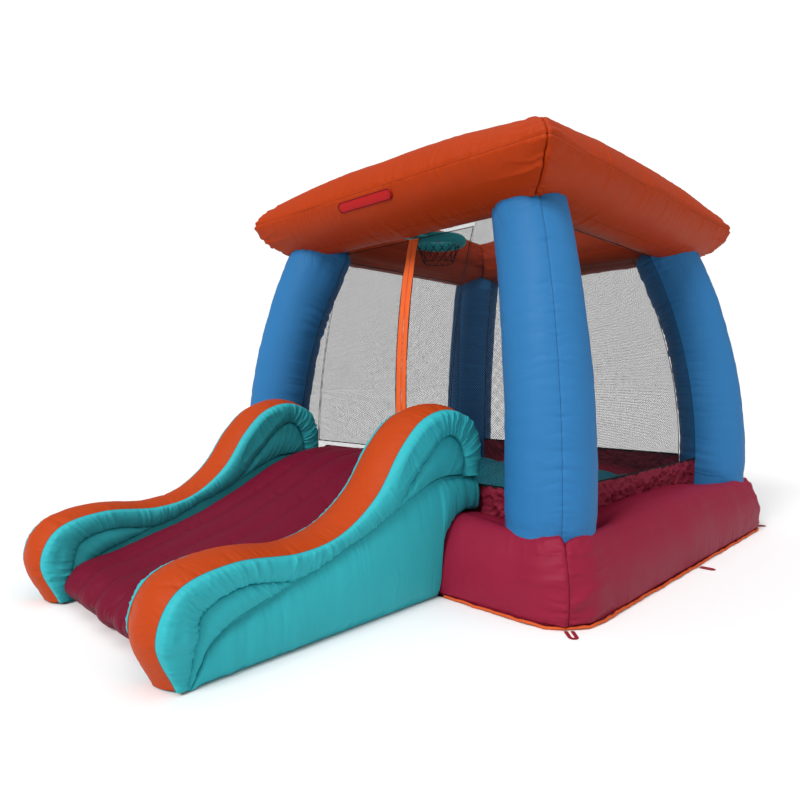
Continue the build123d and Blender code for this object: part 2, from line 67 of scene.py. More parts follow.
ROOF_NET_Z = 1.800
SLIDE_LEFT = -0.600
SLIDE_RIGHT = 0.390
WALL_LEFT = -0.784
WALL_RIGHT = 0.586
SUPPORT_BACK = -0.972
TOE_IN = math.radians(4.0)
ENTRY_BOTTOM = 0.575
SLIT_BOTTOM_X = 0.088
SLIT_TOP_X = -0.014
SLIT_TOP_Z = 1.600
BINDING_WIDTH = 0.036
HOOP = np.array([-0.020, -0.530, 1.716])
HOOP_RADIUS = 0.130
HOOP_TUBE = 0.027
HOOP_NET_TOP = 0.020          # below the ring's centre line
HOOP_NET_DROP = 0.098
HOOP_NET_RADII = (0.120, 0.084)
INLET = np.array([0.420, BASE_HALF, 0.135])
INLET_RADIUS = 0.0965
VENT = np.array([-0.420, BASE_HALF, 0.150])

FINE = 0.0056     # distance between mesh points on large forms

SIDES = {"front": (0, -1), "right": (1, 0), "back": (0, 1), "left": (-1, 0)}
CORNERS = {"front_right": (1, -1), "back_right": (1, 1), "back_left": (-1, 1), "front_left": (-1, -1)}

# Slide outlines as (y, z), from the house outwards for the wall and from the front foot for the rest.
WALL_TOP_LINE = [
    (-0.958, 0.500), (-0.962, 0.640), (-1.025, 0.752), (-1.170, 0.800), (-1.330, 0.762),
    (-1.460, 0.650), (-1.590, 0.480), (-1.760, 0.366), (-1.950, 0.332), (-2.200, 0.352),
    (-2.390, 0.308), (-2.460, 0.170), (-2.400, 0.012),
]
WALL_INNER_LINE = [
    (-1.056, 0.503), (-1.066, 0.590), (-1.095, 0.655), (-1.155, 0.690), (-1.240, 0.660),
    (-1.375, 0.540), (-1.515, 0.403), (-1.735, 0.319), (-1.955, 0.246), (-2.165, 0.270),
    (-2.305, 0.232), (-2.338, 0.150), (-2.362, 0.010),
]
SUPPORT_LINE = [
    (-2.360, 0.000), (-2.280, 0.128), (-2.010, 0.228), (-1.680, 0.338),
    (-1.410, 0.442), (-1.220, 0.505), (-0.972, 0.500),
]
CHANNELS = 5                    # of the bounce floor and of the slide bed
BED_LINE = [
    (-2.335, 0.004), (-2.382, 0.070), (-2.330, 0.146), (-2.140, 0.186), (-1.760, 0.285),
    (-1.490, 0.392), (-1.300, 0.478), (-1.100, 0.532), (-0.880, 0.545),
]


# ---- random values that are the same on every run ----
def soft_step(t):
    return t * t * (3 - 2 * t)


def noise_line(x, seed):
    """Smooth random values from -1 to 1 along a line, one knot per unit of x."""
    x = np.asarray(x, float)
    cell = np.floor(x).astype(int)
    knots = np.random.default_rng(seed).uniform(-1, 1, 4096)
    first, second = knots[cell % 4096], knots[(cell + 1) % 4096]
    return first + (second - first) * soft_step(x - cell)


def noise_field(x, y, seed):
    """Smooth random values from -1 to 1 over a plane, one knot per unit."""
    x, y = np.broadcast_arrays(np.asarray(x, float), np.asarray(y, float))
    cell_x, cell_y = np.floor(x).astype(int), np.floor(y).astype(int)
    knots = np.random.default_rng(seed).uniform(-1, 1, (256, 256))
    tx, ty = soft_step(x - cell_x), soft_step(y - cell_y)
    corner = [[knots[(cell_x + i) % 256, (cell_y + j) % 256] for j in (0, 1)] for i in (0, 1)]
    low = corner[0][0] + (corner[1][0] - corner[0][0]) * tx
    high = corner[0][1] + (corner[1][1] - corner[0][1]) * tx
    return low + (high - low) * ty


def gathers(along, away, seed, depth=0.003, pitch=0.017, reach=0.05):
    """Depth of the small folds beside a sewn edge: dense at the edge, fewer and longer further off."""
    along, away = np.broadcast_arrays(np.asarray(along, float), np.abs(np.asarray(away, float)))
    total = np.zeros(along.shape)
    for octave in range(3):
        size = pitch * 1.9**octave
        sway = 0.55 * noise_field(along / (3 * size), away / (2 * size), seed + 40 + octave)
        fold = 1 - np.abs(noise_line(along / size + sway, seed + octave))
        length = reach * 1.75**octave * (1 + 0.75 * noise_line(along / (2.3 * size), seed + 20 + octave))
        weight = (0.8, 1.0, 1.1)[octave] * depth
        total -= weight * fold**2.2 * np.exp(-((away / length) ** 1.4))
    return total


def crumple(x, y, seed, size, depth):
    """Irregular creases of loose cloth."""
    total = 0
    for octave in range(3):
        scale = size / 1.9**octave
        turn = 0.9 * octave + 0.4
        across = (x * math.cos(turn) + y * math.sin(turn)) / scale
        other = (y * math.cos(turn) - x * math.sin(turn)) / (1.7 * scale)
        total = total + (1 - 2 * np.abs(noise_field(across, other, seed + octave))) * depth / 1.6**octave
    return total


# ---- lines and grids ----
def mixed(first, second, start, end, x):
    """Value at x between one at start and one at end."""
    return (end - x) / (end - start) * first + (x - start) / (end - start) * second


def smooth_line(knots, step=0.01, power=0.5):
    """Points about step apart on a smooth curve through the given ones (Catmull-Rom, centripetal)."""
    knots = np.array(knots, float)
    first = 2 * knots[0] - knots[1]
    last = 2 * knots[-1] - knots[-2]
    padded = np.vstack([first, knots, last])
    out = []
    for i in range(len(padded) - 3):
        p = padded[i : i + 4]
        t = np.concatenate([[0], np.cumsum(np.linalg.norm(np.diff(p, axis=0), axis=1) ** power)])
        x = np.linspace(t[1], t[2], 24, endpoint=False)[:, None]
        a = [mixed(p[j], p[j + 1], t[j], t[j + 1], x) for j in range(3)]
        b = [mixed(a[j], a[j + 1], t[j], t[j + 2], x) for j in range(2)]
        out.append(mixed(b[0], b[1], t[1], t[2], x))
    out.append(knots[-1:])
    return even(np.vstack(out), step=step)


def run_of(line):
    """Distance along a line at each of its points."""
    return np.concatenate([[0], np.cumsum(np.linalg.norm(np.diff(line, axis=0), axis=1))])


def even(line, step=None, count=None):
    """The line again, with points an even distance apart."""
    along = run_of(line)
    count = count or max(3, int(round(along[-1] / step)) + 1)
    at = np.linspace(0, along[-1], count)
    return np.stack([np.interp(at, along, line[:, k]) for k in range(line.shape[1])], axis=1)


def arc(a, b, c, count=40):
    """Points on the circle through three points of a plane, from the first to the last."""
    (ax, ay), (bx, by), (cx, cy) = a, b, c
    d = 2 * (ax * (by - cy) + bx * (cy - ay) + cx * (ay - by))
    ux = ((ax**2 + ay**2) * (by - cy) + (bx**2 + by**2) * (cy - ay) + (cx**2 + cy**2) * (ay - by)) / d
    uy = ((ax**2 + ay**2) * (cx - bx) + (bx**2 + by**2) * (ax - cx) + (cx**2 + cy**2) * (bx - ax)) / d
    start, middle, end = (math.atan2(y - uy, x - ux) for x, y in (a, b, c))
    turn = (end - start) % math.tau
    if (middle - start) % math.tau > turn:
        turn -= math.tau
    angle = start + turn * np.linspace(0, 1, count)
    radius = math.hypot(ax - ux, ay - uy)
    return np.stack([ux + radius * np.cos(angle), uy + radius * np.sin(angle)], axis=1)


def points(x, y, z):
    """Points from coordinates that broadcast together."""
    return np.stack(np.broadcast_arrays(x, y, z), axis=-1)


def joined(*lines):
    return np.vstack([lines[0]] + [line[1:] for line in lines[1:]])


def normals(grid, flip=False):
    """Unit normals of a grid of points."""
    along = np.gradient(grid, axis=0)
    across = np.gradient(grid, axis=1)
    if np.allclose(grid[:, 0], grid[:, -1]):
        across[:, 0] = across[:, -1] = grid[:, 1] - grid[:, -2]
    if np.allclose(grid[0], grid[-1]):
        along[0] = along[-1] = grid[1] - grid[-2]
    n = np.cross(along, across)
    n /= np.maximum(np.linalg.norm(n, axis=2, keepdims=True), 1e-12)
    return -n if flip else n


def pushed(grid, amount, flip=False):
    """The grid moved along its normals."""
    return grid + normals(grid, flip) * np.asarray(amount)[..., None]


class Skin:
    """Collects grids of points, in house coordinates, into one mesh."""

    def __init__(self):
        self.points, self.faces, self.uvs, self.materials, self.count = [], [], [], [], 0

    def add(self, grid, flip=False, material=0):
        rows, cols = grid.shape[:2]
        index = self.count + np.arange(rows * cols).reshape(rows, cols)
        self.points.append(grid.reshape(-1, 3))
        self.count += rows * cols
        lengths_u = np.linalg.norm(np.diff(grid, axis=0), axis=2).mean(axis=1)
        lengths_v = np.linalg.norm(np.diff(grid, axis=1), axis=2).mean(axis=0)
        u = np.concatenate([[0], np.cumsum(lengths_u)])
        v = np.concatenate([[0], np.cumsum(lengths_v)])
        uv = np.stack(np.meshgrid(u, v, indexing="ij"), axis=-1)
        corners = [(slice(None, -1), slice(None, -1)), (slice(1, None), slice(None, -1)),
                   (slice(1, None), slice(1, None)), (slice(None, -1), slice(1, None))]
        if flip:
            corners = corners[::-1]
        self.faces.append(np.stack([index[c] for c in corners], axis=-1).reshape(-1, 4))
        self.uvs.append(np.stack([uv[c] for c in corners], axis=-2).reshape(-1, 2))
        self.materials.append(np.full((rows - 1) * (cols - 1), material))
        return self

    def cap(self, ring, flip=False, material=0, rings=6):
        """Closes a ring of points with a disc of shrinking rings."""
        middle = ring.mean(axis=0)
        scale = np.linspace(1, 0, rings)[:, None, None]
        return self.add(middle + (ring - middle)[None] * scale, flip, material)

    def make(self, name, materials, weld=0.0004):
        mesh = bpy.data.meshes.new(name)
        points = np.vstack(self.points) + HOUSE
        faces = np.vstack(self.faces)
        mesh.vertices.add(len(points))
        mesh.vertices.foreach_set("co", points.astype(np.float32).ravel())
        mesh.loops.add(faces.size)
        mesh.loops.foreach_set("vertex_index", faces.astype(np.int32).ravel())
        mesh.polygons.add(len(faces))
        mesh.polygons.foreach_set("loop_start", np.arange(0, faces.size, 4, dtype=np.int32))
        layer = mesh.uv_layers.new(name="cloth")
        layer.data.foreach_set("uv", np.vstack(self.uvs).astype(np.float32).ravel())
        mesh.polygons.foreach_set("material_index", np.concatenate(self.materials).astype(np.int32))
        mesh.update(calc_edges=True)
        mesh.validate()
        if weld:
            work = bmesh.new()
            work.from_mesh(mesh)
            bmesh.ops.remove_doubles(work, verts=work.verts, dist=weld)
            bmesh.ops.dissolve_degenerate(work, edges=work.edges, dist=1e-6)
            work.to_mesh(mesh)
            work.free()
        mesh.shade_smooth()
        obj = bpy.data.objects.new(name, mesh)
        bpy.context.scene.collection.objects.link(obj)
        for material in materials if isinstance(materials, (list, tuple)) else [materials]:
            mesh.materials.append(material)
        return obj


def place(obj, nodes, body="house"):
    """Puts a finished piece in place of its CAD nodes."""
    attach(obj, body)
    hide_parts(*([nodes] if isinstance(nodes, str) else nodes))
    return obj


# ---- materials ----
def new_material(name):
    material = bpy.data.materials.new(name)
    material.use_nodes = True
    tree = material.node_tree
    return material, tree.nodes, tree.links, tree.nodes["Principled BSDF"]


def put(nodes, kind, inputs=(), **values):
    """Adds a node, with its settings and the constant values of its inputs."""
    node = nodes.new(kind)
    for key, value in values.items():
        setattr(node, key, value)
    return set_inputs(node, inputs)


def set_inputs(node, inputs):
    for key, value in dict(inputs).items():
        node.inputs[key].default_value = value
    return node


def cloth(name, colour, roughness=0.5, pitch=0.0011, weave=0.35, crinkle=0.0010, sheen=0.0, fleck=0.05):
    """Coated woven cloth: crossing threads, soft crinkles and slightly uneven dye."""
    material, nodes, links, shader = new_material(name)
    uv = put(nodes, "ShaderNodeUVMap", uv_map="cloth")
    place_in = put(nodes, "ShaderNodeTexCoord")
    threads = []
    for direction in ("X", "Y"):
        values = {"Scale": 0.314 / pitch, "Distortion": 0.6, "Detail": 1.0}
        wave = put(nodes, "ShaderNodeTexWave", values, bands_direction=direction)
        links.new(uv.outputs["UV"], wave.inputs["Vector"])
        threads.append(wave)
    weft = put(nodes, "ShaderNodeMath", operation="MULTIPLY")
    links.new(threads[0].outputs["Fac"], weft.inputs[0])
    links.new(threads[1].outputs["Fac"], weft.inputs[1])
    values = {"Scale": 16, "Detail": 5, "Distortion": 0.5}
    folds = put(nodes, "ShaderNodeTexNoise", values, noise_type="RIDGED_MULTIFRACTAL")
    links.new(place_in.outputs["Object"], folds.inputs["Vector"])
    dye = put(nodes, "ShaderNodeTexNoise", {"Scale": 5, "Detail": 6})
    links.new(place_in.outputs["Object"], dye.inputs["Vector"])
    values = {
        "A": (*[c * (1 - fleck) for c in colour], 1),
        "B": (*[min(1, c * (1 + fleck)) for c in colour], 1),
    }
    tone = put(nodes, "ShaderNodeMix", values, data_type="RGBA")
    links.new(dye.outputs["Fac"], tone.inputs["Factor"])
    thread_tone = put(nodes, "ShaderNodeMix", {"Factor": 0.10}, data_type="RGBA", blend_type="MULTIPLY")
    links.new(tone.outputs["Result"], thread_tone.inputs["A"])
    links.new(weft.outputs["Value"], thread_tone.inputs["B"])
    links.new(thread_tone.outputs["Result"], shader.inputs["Base Color"])
    gloss = put(nodes, "ShaderNodeMapRange", {"To Min": roughness - 0.06, "To Max": roughness + 0.08})
    links.new(dye.outputs["Fac"], gloss.inputs["Value"])
    links.new(gloss.outputs["Result"], shader.inputs["Roughness"])
    soft = put(nodes, "ShaderNodeBump", {"Strength": 1.0, "Distance": crinkle})
    links.new(folds.outputs["Fac"], soft.inputs["Height"])
    weave_bump = put(nodes, "ShaderNodeBump", {"Strength": weave, "Distance": 0.0002})
    links.new(weft.outputs["Value"], weave_bump.inputs["Height"])
    links.new(soft.outputs["Normal"], weave_bump.inputs["Normal"])
    links.new(weave_bump.outputs["Normal"], shader.inputs["Normal"])
    shader.inputs["Sheen Weight"].default_value = sheen
    shader.inputs["Sheen Roughness"].default_value = 0.4
    shader.inputs["Specular IOR Level"].default_value = 0.10
    return material


def webbing(name, colour, pitch=0.0024):
    return cloth(name, colour, roughness=0.75, pitch=pitch, weave=0.9, crinkle=0.0003, sheen=0.06, fleck=0.12)


def plastic(name, colour, roughness=0.35):
    """Moulded plastic with a fine grain."""
    material, nodes, links, shader = new_material(name)
    place_in = put(nodes, "ShaderNodeTexCoord")
    grain = put(nodes, "ShaderNodeTexNoise", {"Scale": 900, "Detail": 3})
    links.new(place_in.outputs["Object"], grain.inputs["Vector"])
    values = {"A": (*[c * 0.85 for c in colour], 1), "B": (*colour, 1)}
    tone = put(nodes, "ShaderNodeMix", values, data_type="RGBA")
    links.new(grain.outputs["Fac"], tone.inputs["Factor"])
    links.new(tone.outputs["Result"], shader.inputs["Base Color"])
    bump = put(nodes, "ShaderNodeBump", {"Strength": 0.2, "Distance": 0.0001})
    links.new(grain.outputs["Fac"], bump.inputs["Height"])
    links.new(bump.outputs["Normal"], shader.inputs["Normal"])
    shader.inputs["Roughness"].default_value = roughness
    return material


ORANGE = cloth("canopy_orange", (0.400, 0.038, 0.003))
BAND_ORANGE = cloth("slide_orange", (0.450, 0.051, 0.006))
# Seam cords: darker copies of the panel colours, standing for the stitching and painting the shade in each
# seam's crease.
ORANGE_THREAD_AND_SHADE = cloth("seam_thread_and_shade_orange", (0.200, 0.026, 0.008), pitch=0.0007, crinkle=0.0)
BLUE_THREAD_AND_SHADE = cloth("seam_thread_and_shade_blue", (0.012, 0.060, 0.150), pitch=0.0007, crinkle=0.0)
CRIMSON_THREAD_AND_SHADE = cloth("seam_thread_and_shade_crimson", (0.110, 0.006, 0.016), pitch=0.0007, crinkle=0.0)
TURQUOISE_THREAD_AND_SHADE = cloth("seam_thread_and_shade_turquoise", (0.012, 0.130, 0.150), pitch=0.0007, crinkle=0.0)
BLUE = cloth("column_blue", (0.028, 0.168, 0.395))
CRIMSON = cloth("base_crimson", (0.260, 0.012, 0.038))
TURQUOISE = cloth("slide_turquoise", (0.034, 0.415, 0.465))
MAROON = cloth("bed_maroon", (0.150, 0.004, 0.022))
TEAL = cloth("floor_teal", (0.016, 0.230, 0.310))
SKIRT = cloth("skirt_maroon", (0.210, 0.014, 0.034), roughness=0.6)
SLEEVE = cloth("sleeve_crimson", (0.330, 0.020, 0.045), roughness=0.55)
PIPING = cloth("piping_orange", (0.620, 0.100, 0.025), roughness=0.6)
BINDING = webbing("binding_orange", (0.780, 0.130, 0.030))
BADGE = cloth("badge_red", (0.480, 0.012, 0.014), roughness=0.4, pitch=0.0007)
BADGE_EDGE = webbing("badge_edge", (0.030, 0.008, 0.010), pitch=0.0012)
UNDERSIDE = cloth("ground_sheet_black", (0.020, 0.020, 0.023), roughness=0.65, pitch=0.0016)
WEB_WHITE = cloth("inner_web_white", (0.600, 0.600, 0.600), roughness=0.6)
NET_BLACK = cloth("net_thread_black", (0.010, 0.010, 0.012), roughness=0.7, pitch=0.0006, crinkle=0.0)
STRAP_BLACK = webbing("strap_black", (0.012, 0.012, 0.013))
STRAP_RED = webbing("loop_red", (0.280, 0.010, 0.024))
BUCKLE_BLACK = plastic("buckle_black", (0.012, 0.012, 0.014))
ZIP_TAPE = webbing("zip_tape_black", (0.014, 0.014, 0.016), pitch=0.0016)


# ---- seams and ground tubes ----
def seam_cord(path, radius=0.0012):
    """Thin line of stitching along a sewn edge, in a darker colour that is painted shade of the seam's
    crease.
    """
    normal = np.linalg.svd(path - path.mean(axis=0), full_matrices=False)[2][2]
    return tube(path, radius, sides=6, up=normal)


def side_point(side, out, along, z):
    """Points from distances out of and along one side of the house."""
    out_x, out_y = SIDES[side]
    out, along, z = np.broadcast_arrays(out, along, z)
    return np.stack([out * out_x - along * out_y, out * out_y + along * out_x, z], axis=-1)


def base_section():
    """Ground tube's section as (distance outwards, height), from the inner foot over the top and back."""
    inner = np.array([(BASE_INNER, 0.006), (BASE_INNER, 0.245)])
    inner_top = arc((BASE_INNER, 0.245), (0.900, 0.325), (1.045, 0.349))
    top = arc((1.045, 0.349), (1.128, 0.326), (1.186, 0.258))
    side = arc((1.186, 0.258), (1.225, 0.145), (1.214, 0.006))
    return joined(inner, inner_top, top, side, np.array([(1.214, 0.006), (BASE_INNER, 0.006)]))


def corner_distance(x, y):
    """Distance from the nearest column's centre line, near the ground."""
    return np.hypot(np.abs(x) - COLUMN_SPREAD, np.abs(y) - COLUMN_SPREAD)


def base_tube(side, seed):
    section = even(base_section(), step=FINE)
    run = run_of(section)
    out = section[:, 0][None, :]
    bend = np.maximum(out - (BASE_HALF - BASE_CORNER), 0.0)
    straight = out - bend
    half_run = straight + bend * math.pi / 4
    count = int(2.3 / FINE)
    share = np.linspace(-1, 1, count)[:, None]
    at = np.abs(share) * half_run
    angle = np.clip(at - straight, 0, None) / np.maximum(bend, 1e-6)
    along = np.where(at > straight, straight + bend * np.sin(angle), at) * np.sign(share)
    level = np.where(at > straight, straight + bend * np.cos(angle), out)
    z = np.broadcast_to(section[:, 1][None, :], along.shape)
    grid = side_point(side, level, along, z)
    mitre = half_run * (1 - np.abs(share))
    lift = soft_step(np.clip(z / 0.35, 0, 1))
    near = corner_distance(grid[..., 0], grid[..., 1])
    inner_half = soft_step(np.clip((1.15 - level) / 0.13, 0, 1))
    deep = 0.05 if side == "front" else 0.14
    sink = deep * np.exp(-np.clip(near - COLUMN_RADIUS, 0, None) / 0.16) * lift * inner_half
    seam = 0.012 * np.exp(-mitre / 0.010) + 0.012 * np.exp(-mitre / 0.07)
    run_row = run[None, :]
    hem_run = run[-1] - (1.214 - BASE_INNER)
    hem = np.maximum(hem_run - run_row, 0)
    amount = gathers(run_row, mitre, seed, 0.0090, 0.0155, 0.045)
    amount = amount + gathers(along, hem, seed + 1, 0.0030, 0.018, 0.032)
    amount = amount + 0.006 * noise_field(along * 3.2, run_row * 5, seed + 2)
    amount = amount + 0.0018 * noise_field(along * 11, run_row * 9, seed + 4)
    heading = np.arctan2(grid[..., 1], grid[..., 0])
    amount = amount + gathers(heading, near - COLUMN_RADIUS, seed + 3, 0.003, 0.02, 0.04) * lift
    flat = (z < 0.02).astype(float)
    fixed = 1 - np.exp(-((mitre / 0.008) ** 2))
    grid = pushed(grid, (amount * fixed - 0.6 * seam) * (1 - flat), flip=False)
    grid[..., 2] -= sink
    grid[..., 2] = np.clip(grid[..., 2], 0.005, None)
    shown = grid[-1, run < hem_run]
    return Skin().add(grid).cap(grid[0], True).cap(grid[-1]).add(seam_cord(shown, 0.0009), True, material=1)


# ---- canopy ----
CANOPY_SLOPE = ((0.165, 1.704), (0.056, 1.768), (0, SEAM_Z))
CORNER_ROUND = 0.035


def canopy_section():
    """Canopy tube's section as (distance inwards from the seam, height), from the seam over the top."""
    top = arc((0, SEAM_Z), (0.200, 2.029), (0.405, 1.918))
    inner = arc((0.405, 1.918), (0.432, 1.795), (0.335, 1.711))
    under = arc((0.335, 1.711), (0.250, 1.686), CANOPY_SLOPE[0])
    slope = arc(*CANOPY_SLOPE)
    ends = np.cumsum([len(top), len(inner) - 1, len(under) - 1])
    return joined(top, inner, under, slope), ends


def canopy_tube(side, seed):
    raw, ends = canopy_section()
    raw_run = run_of(raw)
    inner_run, low_run, crease_run = (raw_run[i - 1] for i in ends)
    section = even(raw, step=FINE)
    run = run_of(section)
    reach = CANOPY_HALF if SIDES[side][0] else CANOPY_HALF[::-1]
    count = int(2 * reach[1] / FINE)
    share = np.linspace(-1, 1, count)[:, None]
    middle = section.mean(axis=0)
    inward, z = section[:, 0][None, :], section[:, 1][None, :]
    mitre = (1 - np.abs(share)) * (reach[1] - inward)
    mid_bulge = 1 - np.abs(share) ** 2.5
    squeeze = 0.030 * np.exp(-mitre / 0.012) + 0.020 * np.exp(-mitre / 0.10)
    seam_hold = np.exp(-(np.minimum(run, run[-1] - run) / 0.05) ** 2)[None, :]
    squeeze = squeeze * (1 - seam_hold)
    tuck = CORNER_ROUND * (1 - np.sqrt(1 - np.clip(1 - mitre / CORNER_ROUND, 0, 1) ** 2))
    inward = inward + (middle[0] - inward) * squeeze + 0.5 * tuck * np.clip(1 - inward / 0.2, 0, 1)
    height = z + (middle[1] - z) * squeeze
    height = height + 0.045 * mid_bulge * np.clip((z - SEAM_Z) / 0.09, 0, 1) ** 0.7
    along = share * (reach[1] - inward)
    grid = side_point(side, reach[0] - inward, along, height)
    run_row = run[None, :]
    seam_away = np.minimum(run, run[-1] - run)[None, :]
    amount = gathers(along, seam_away, seed, 0.0030, 0.015, 0.045)
    amount = amount + gathers(along, run_row - crease_run, seed + 1, 0.0030, 0.018, 0.035)
    amount = amount + gathers(along, run_row - inner_run, seed + 2, 0.0028, 0.022, 0.030)
    amount = amount + gathers(run_row, mitre, seed + 3, 0.0075, 0.0155, 0.045)
    amount = amount + 0.0040 * noise_field(along * 4, run_row * 6, seed + 4)
    fixed = (1 - np.exp(-((mitre / 0.008) ** 2))) * (1 - np.exp(-((seam_away / 0.006) ** 2)))
    grid = pushed(grid, amount * fixed, flip=True)
    skin = Skin().add(grid, True).cap(grid[0]).cap(grid[-1], True)
    low_seam = np.argmin(np.abs(run - crease_run))
    for line in (grid[:, 0], grid[:, low_seam], grid[-1]):
        skin.add(seam_cord(line), True, material=1)
    return skin


# ---- columns ----
# The canopy is narrower than it is deep, so the column heads lean a little more along X.
COLUMN_SHIFT = 0.022


def column_centre(z):
    rise = np.maximum(0.0, z - BEND_START)
    return COLUMN_SPREAD - (BEND_RADIUS - np.sqrt(BEND_RADIUS**2 - rise**2)) / math.sqrt(2)


def column(corner, seed):
    sign_x, sign_y = CORNERS[corner]
    heading = math.atan2(sign_y, sign_x)
    z = np.linspace(COLUMN_FOOT, COLUMN_HEAD, int(1.5 / FINE))[:, None]
    turn = np.linspace(0, math.tau, int(1.15 / FINE) + 1)[None, :]
    angle = heading + turn
    share = np.clip((z - 0.42) / 1.22, 0, 1)
    dome = np.clip((z - 1.695) / (COLUMN_HEAD - 1.680), 0, 1)
    radius = (0.188 - 0.016 * share) * np.sqrt(1 - dome**2)
    radius = radius - 0.004 * np.exp(-np.clip(z - 0.340, 0, None) / 0.025)
    centre = column_centre(z)
    rise = np.maximum(0.0, z - BEND_START)
    lean = rise / BEND_RADIUS
    outwards = radius * np.cos(turn)
    x = sign_x * centre + (outwards * math.cos(heading) - radius * np.sin(turn) * math.sin(heading))
    y = sign_y * centre + (outwards * math.sin(heading) + radius * np.sin(turn) * math.cos(heading))
    height = z + outwards * lean + 0 * turn
    lean_back = COLUMN_SHIFT * (rise / (1.7 - BEND_START)) ** 2
    grid = np.stack([x - sign_x * lean_back, y + sign_y * lean_back, height], axis=-1)
    girth = radius * turn
    seam = np.minimum(np.abs(turn), np.abs(math.tau - turn)) * radius
    inner = np.clip(np.cos(turn - math.pi), 0, 1)
    amount = gathers(z, seam, seed, 0.0034, 0.015, 0.035) - 0.003 * np.exp(-seam / 0.005)
    amount = amount + gathers(girth, 1.680 - z, seed + 1, 0.0038, 0.021, 0.040)
    amount = amount + gathers(girth, z - 0.340, seed + 2, 0.0022, 0.018, 0.035)
    wave = 1 - np.abs(noise_line(z / 0.046 + 0.5 * noise_line(girth / 0.12, seed + 3), seed + 4))
    amount = amount - 0.011 * wave**2 * inner**1.5 * soft_step(np.clip((z - 0.85) / 0.5, 0, 1))
    small = 1 - np.abs(noise_line(z / 0.030 + 0.4 * noise_line(girth / 0.07, seed + 5), seed + 6))
    amount = amount - 0.0035 * small**2 * inner**0.8
    amount = amount + 0.0030 * noise_field(z * 5, girth * 9, seed + 7) * np.clip((z - 0.33) / 0.1, 0, 1)
    amount = amount + 0.0012 * noise_field(z * 26, girth * 7, seed + 8)
    grid = pushed(grid, amount, flip=True)
    grid[:, -1] = grid[:, 0]
    skin = Skin().add(grid, True).cap(grid[0]).cap(grid[-1], True)
    return skin.add(seam_cord(grid[:, 0], 0.0010), True, material=1)


def build_frame():
    for number, side in enumerate(SIDES):
        ground = base_tube(side, 100 + 10 * number).make(f"base_tube_{side}_cloth", [CRIMSON, CRIMSON_THREAD_AND_SHADE])
        place(ground, f"base_tube_{side}")
        canopy = canopy_tube(side, 200 + 10 * number).make(f"canopy_tube_{side}_cloth", [ORANGE, ORANGE_THREAD_AND_SHADE])
        place(canopy, f"canopy_tube_{side}")
    for number, corner in enumerate(CORNERS):
        post = column(corner, 300 + 10 * number).make(f"column_{corner}_cloth", [BLUE, BLUE_THREAD_AND_SHADE])
        place(post, f"column_{corner}")


# ---- slide ----
def matched_lines(first, second, step):
    """Two smooth lines through paired points, sampled in step with each other."""
    def dense(points):
        points = np.array(points, float)
        padded = np.vstack([2 * points[0] - points[1], points, 2 * points[-1] - points[-2]])
        t = np.linspace(0, 1, 24, endpoint=False)[:, None]
        rows = []
        for i in range(len(points) - 1):
            a, b, c, d = padded[i : i + 4]
            rows.append(b + 0.5 * t * (c - a + t * (2 * a - 5 * b + 4 * c - d + t * (3 * (b - c) + d - a))))
        return np.vstack(rows + [points[-1:]])

    one, two = dense(first), dense(second)
    along = run_of(one)
    at = np.linspace(0, along[-1], int(along[-1] / step) + 1)

    def sampled(line):
        return np.stack([np.interp(at, along, line[:, k]) for k in (0, 1)], axis=1)

    return sampled(one), sampled(two)


def foot_taper(y, z, face):
    """Share of its half thickness that a wall keeps: less on its left face at the foot."""
    drawn_in = 0.6 * soft_step(np.clip((0.17 - z) / 0.17, 0, 1))
    drawn_in = drawn_in * soft_step(np.clip((-2.20 - y) / 0.12, 0, 1))
    return 1 - drawn_in * (np.asarray(face) < 0)


def wall_point(y, z, half, middle, face, off):
    """Points on a wall's face: off is how far they stand out of it."""
    y, z, off = np.broadcast_arrays(y, z, off)
    x = middle + face * (half * foot_taper(y, z, face) + off)
    return np.stack([x, y, z], axis=-1)


def bend_weight(line):
    """1 on straight runs of a line and more where it turns."""
    step = np.gradient(line, axis=0)
    heading = np.unwrap(np.arctan2(step[:, 1], step[:, 0]))
    turn = np.abs(np.gradient(heading)) / np.maximum(np.linalg.norm(step, axis=1), 1e-9)
    smooth = np.convolve(np.pad(turn, 12, mode="edge"), np.ones(25) / 25, mode="valid")
    return 0.55 + np.clip(smooth / 5, 0, 1.5)


def toed_in(grid, name):
    """Turns a piece of the left wall about its rear inner corner, so that the slide narrows to its foot."""
    if name != "left":
        return grid
    x, y = grid[..., 0] - SLIDE_LEFT, grid[..., 1] - SUPPORT_BACK
    low = soft_step(np.clip((0.22 - grid[..., 2]) / 0.22, 0, 1))
    low = low * soft_step(np.clip((-2.15 - grid[..., 1]) / 0.2, 0, 1))
    turned = [SLIDE_LEFT + x * math.cos(TOE_IN) - y * math.sin(TOE_IN) + 0.035 * low,
              SUPPORT_BACK + x * math.sin(TOE_IN) + y * math.cos(TOE_IN), grid[..., 2]]
    return np.stack(turned, axis=-1)


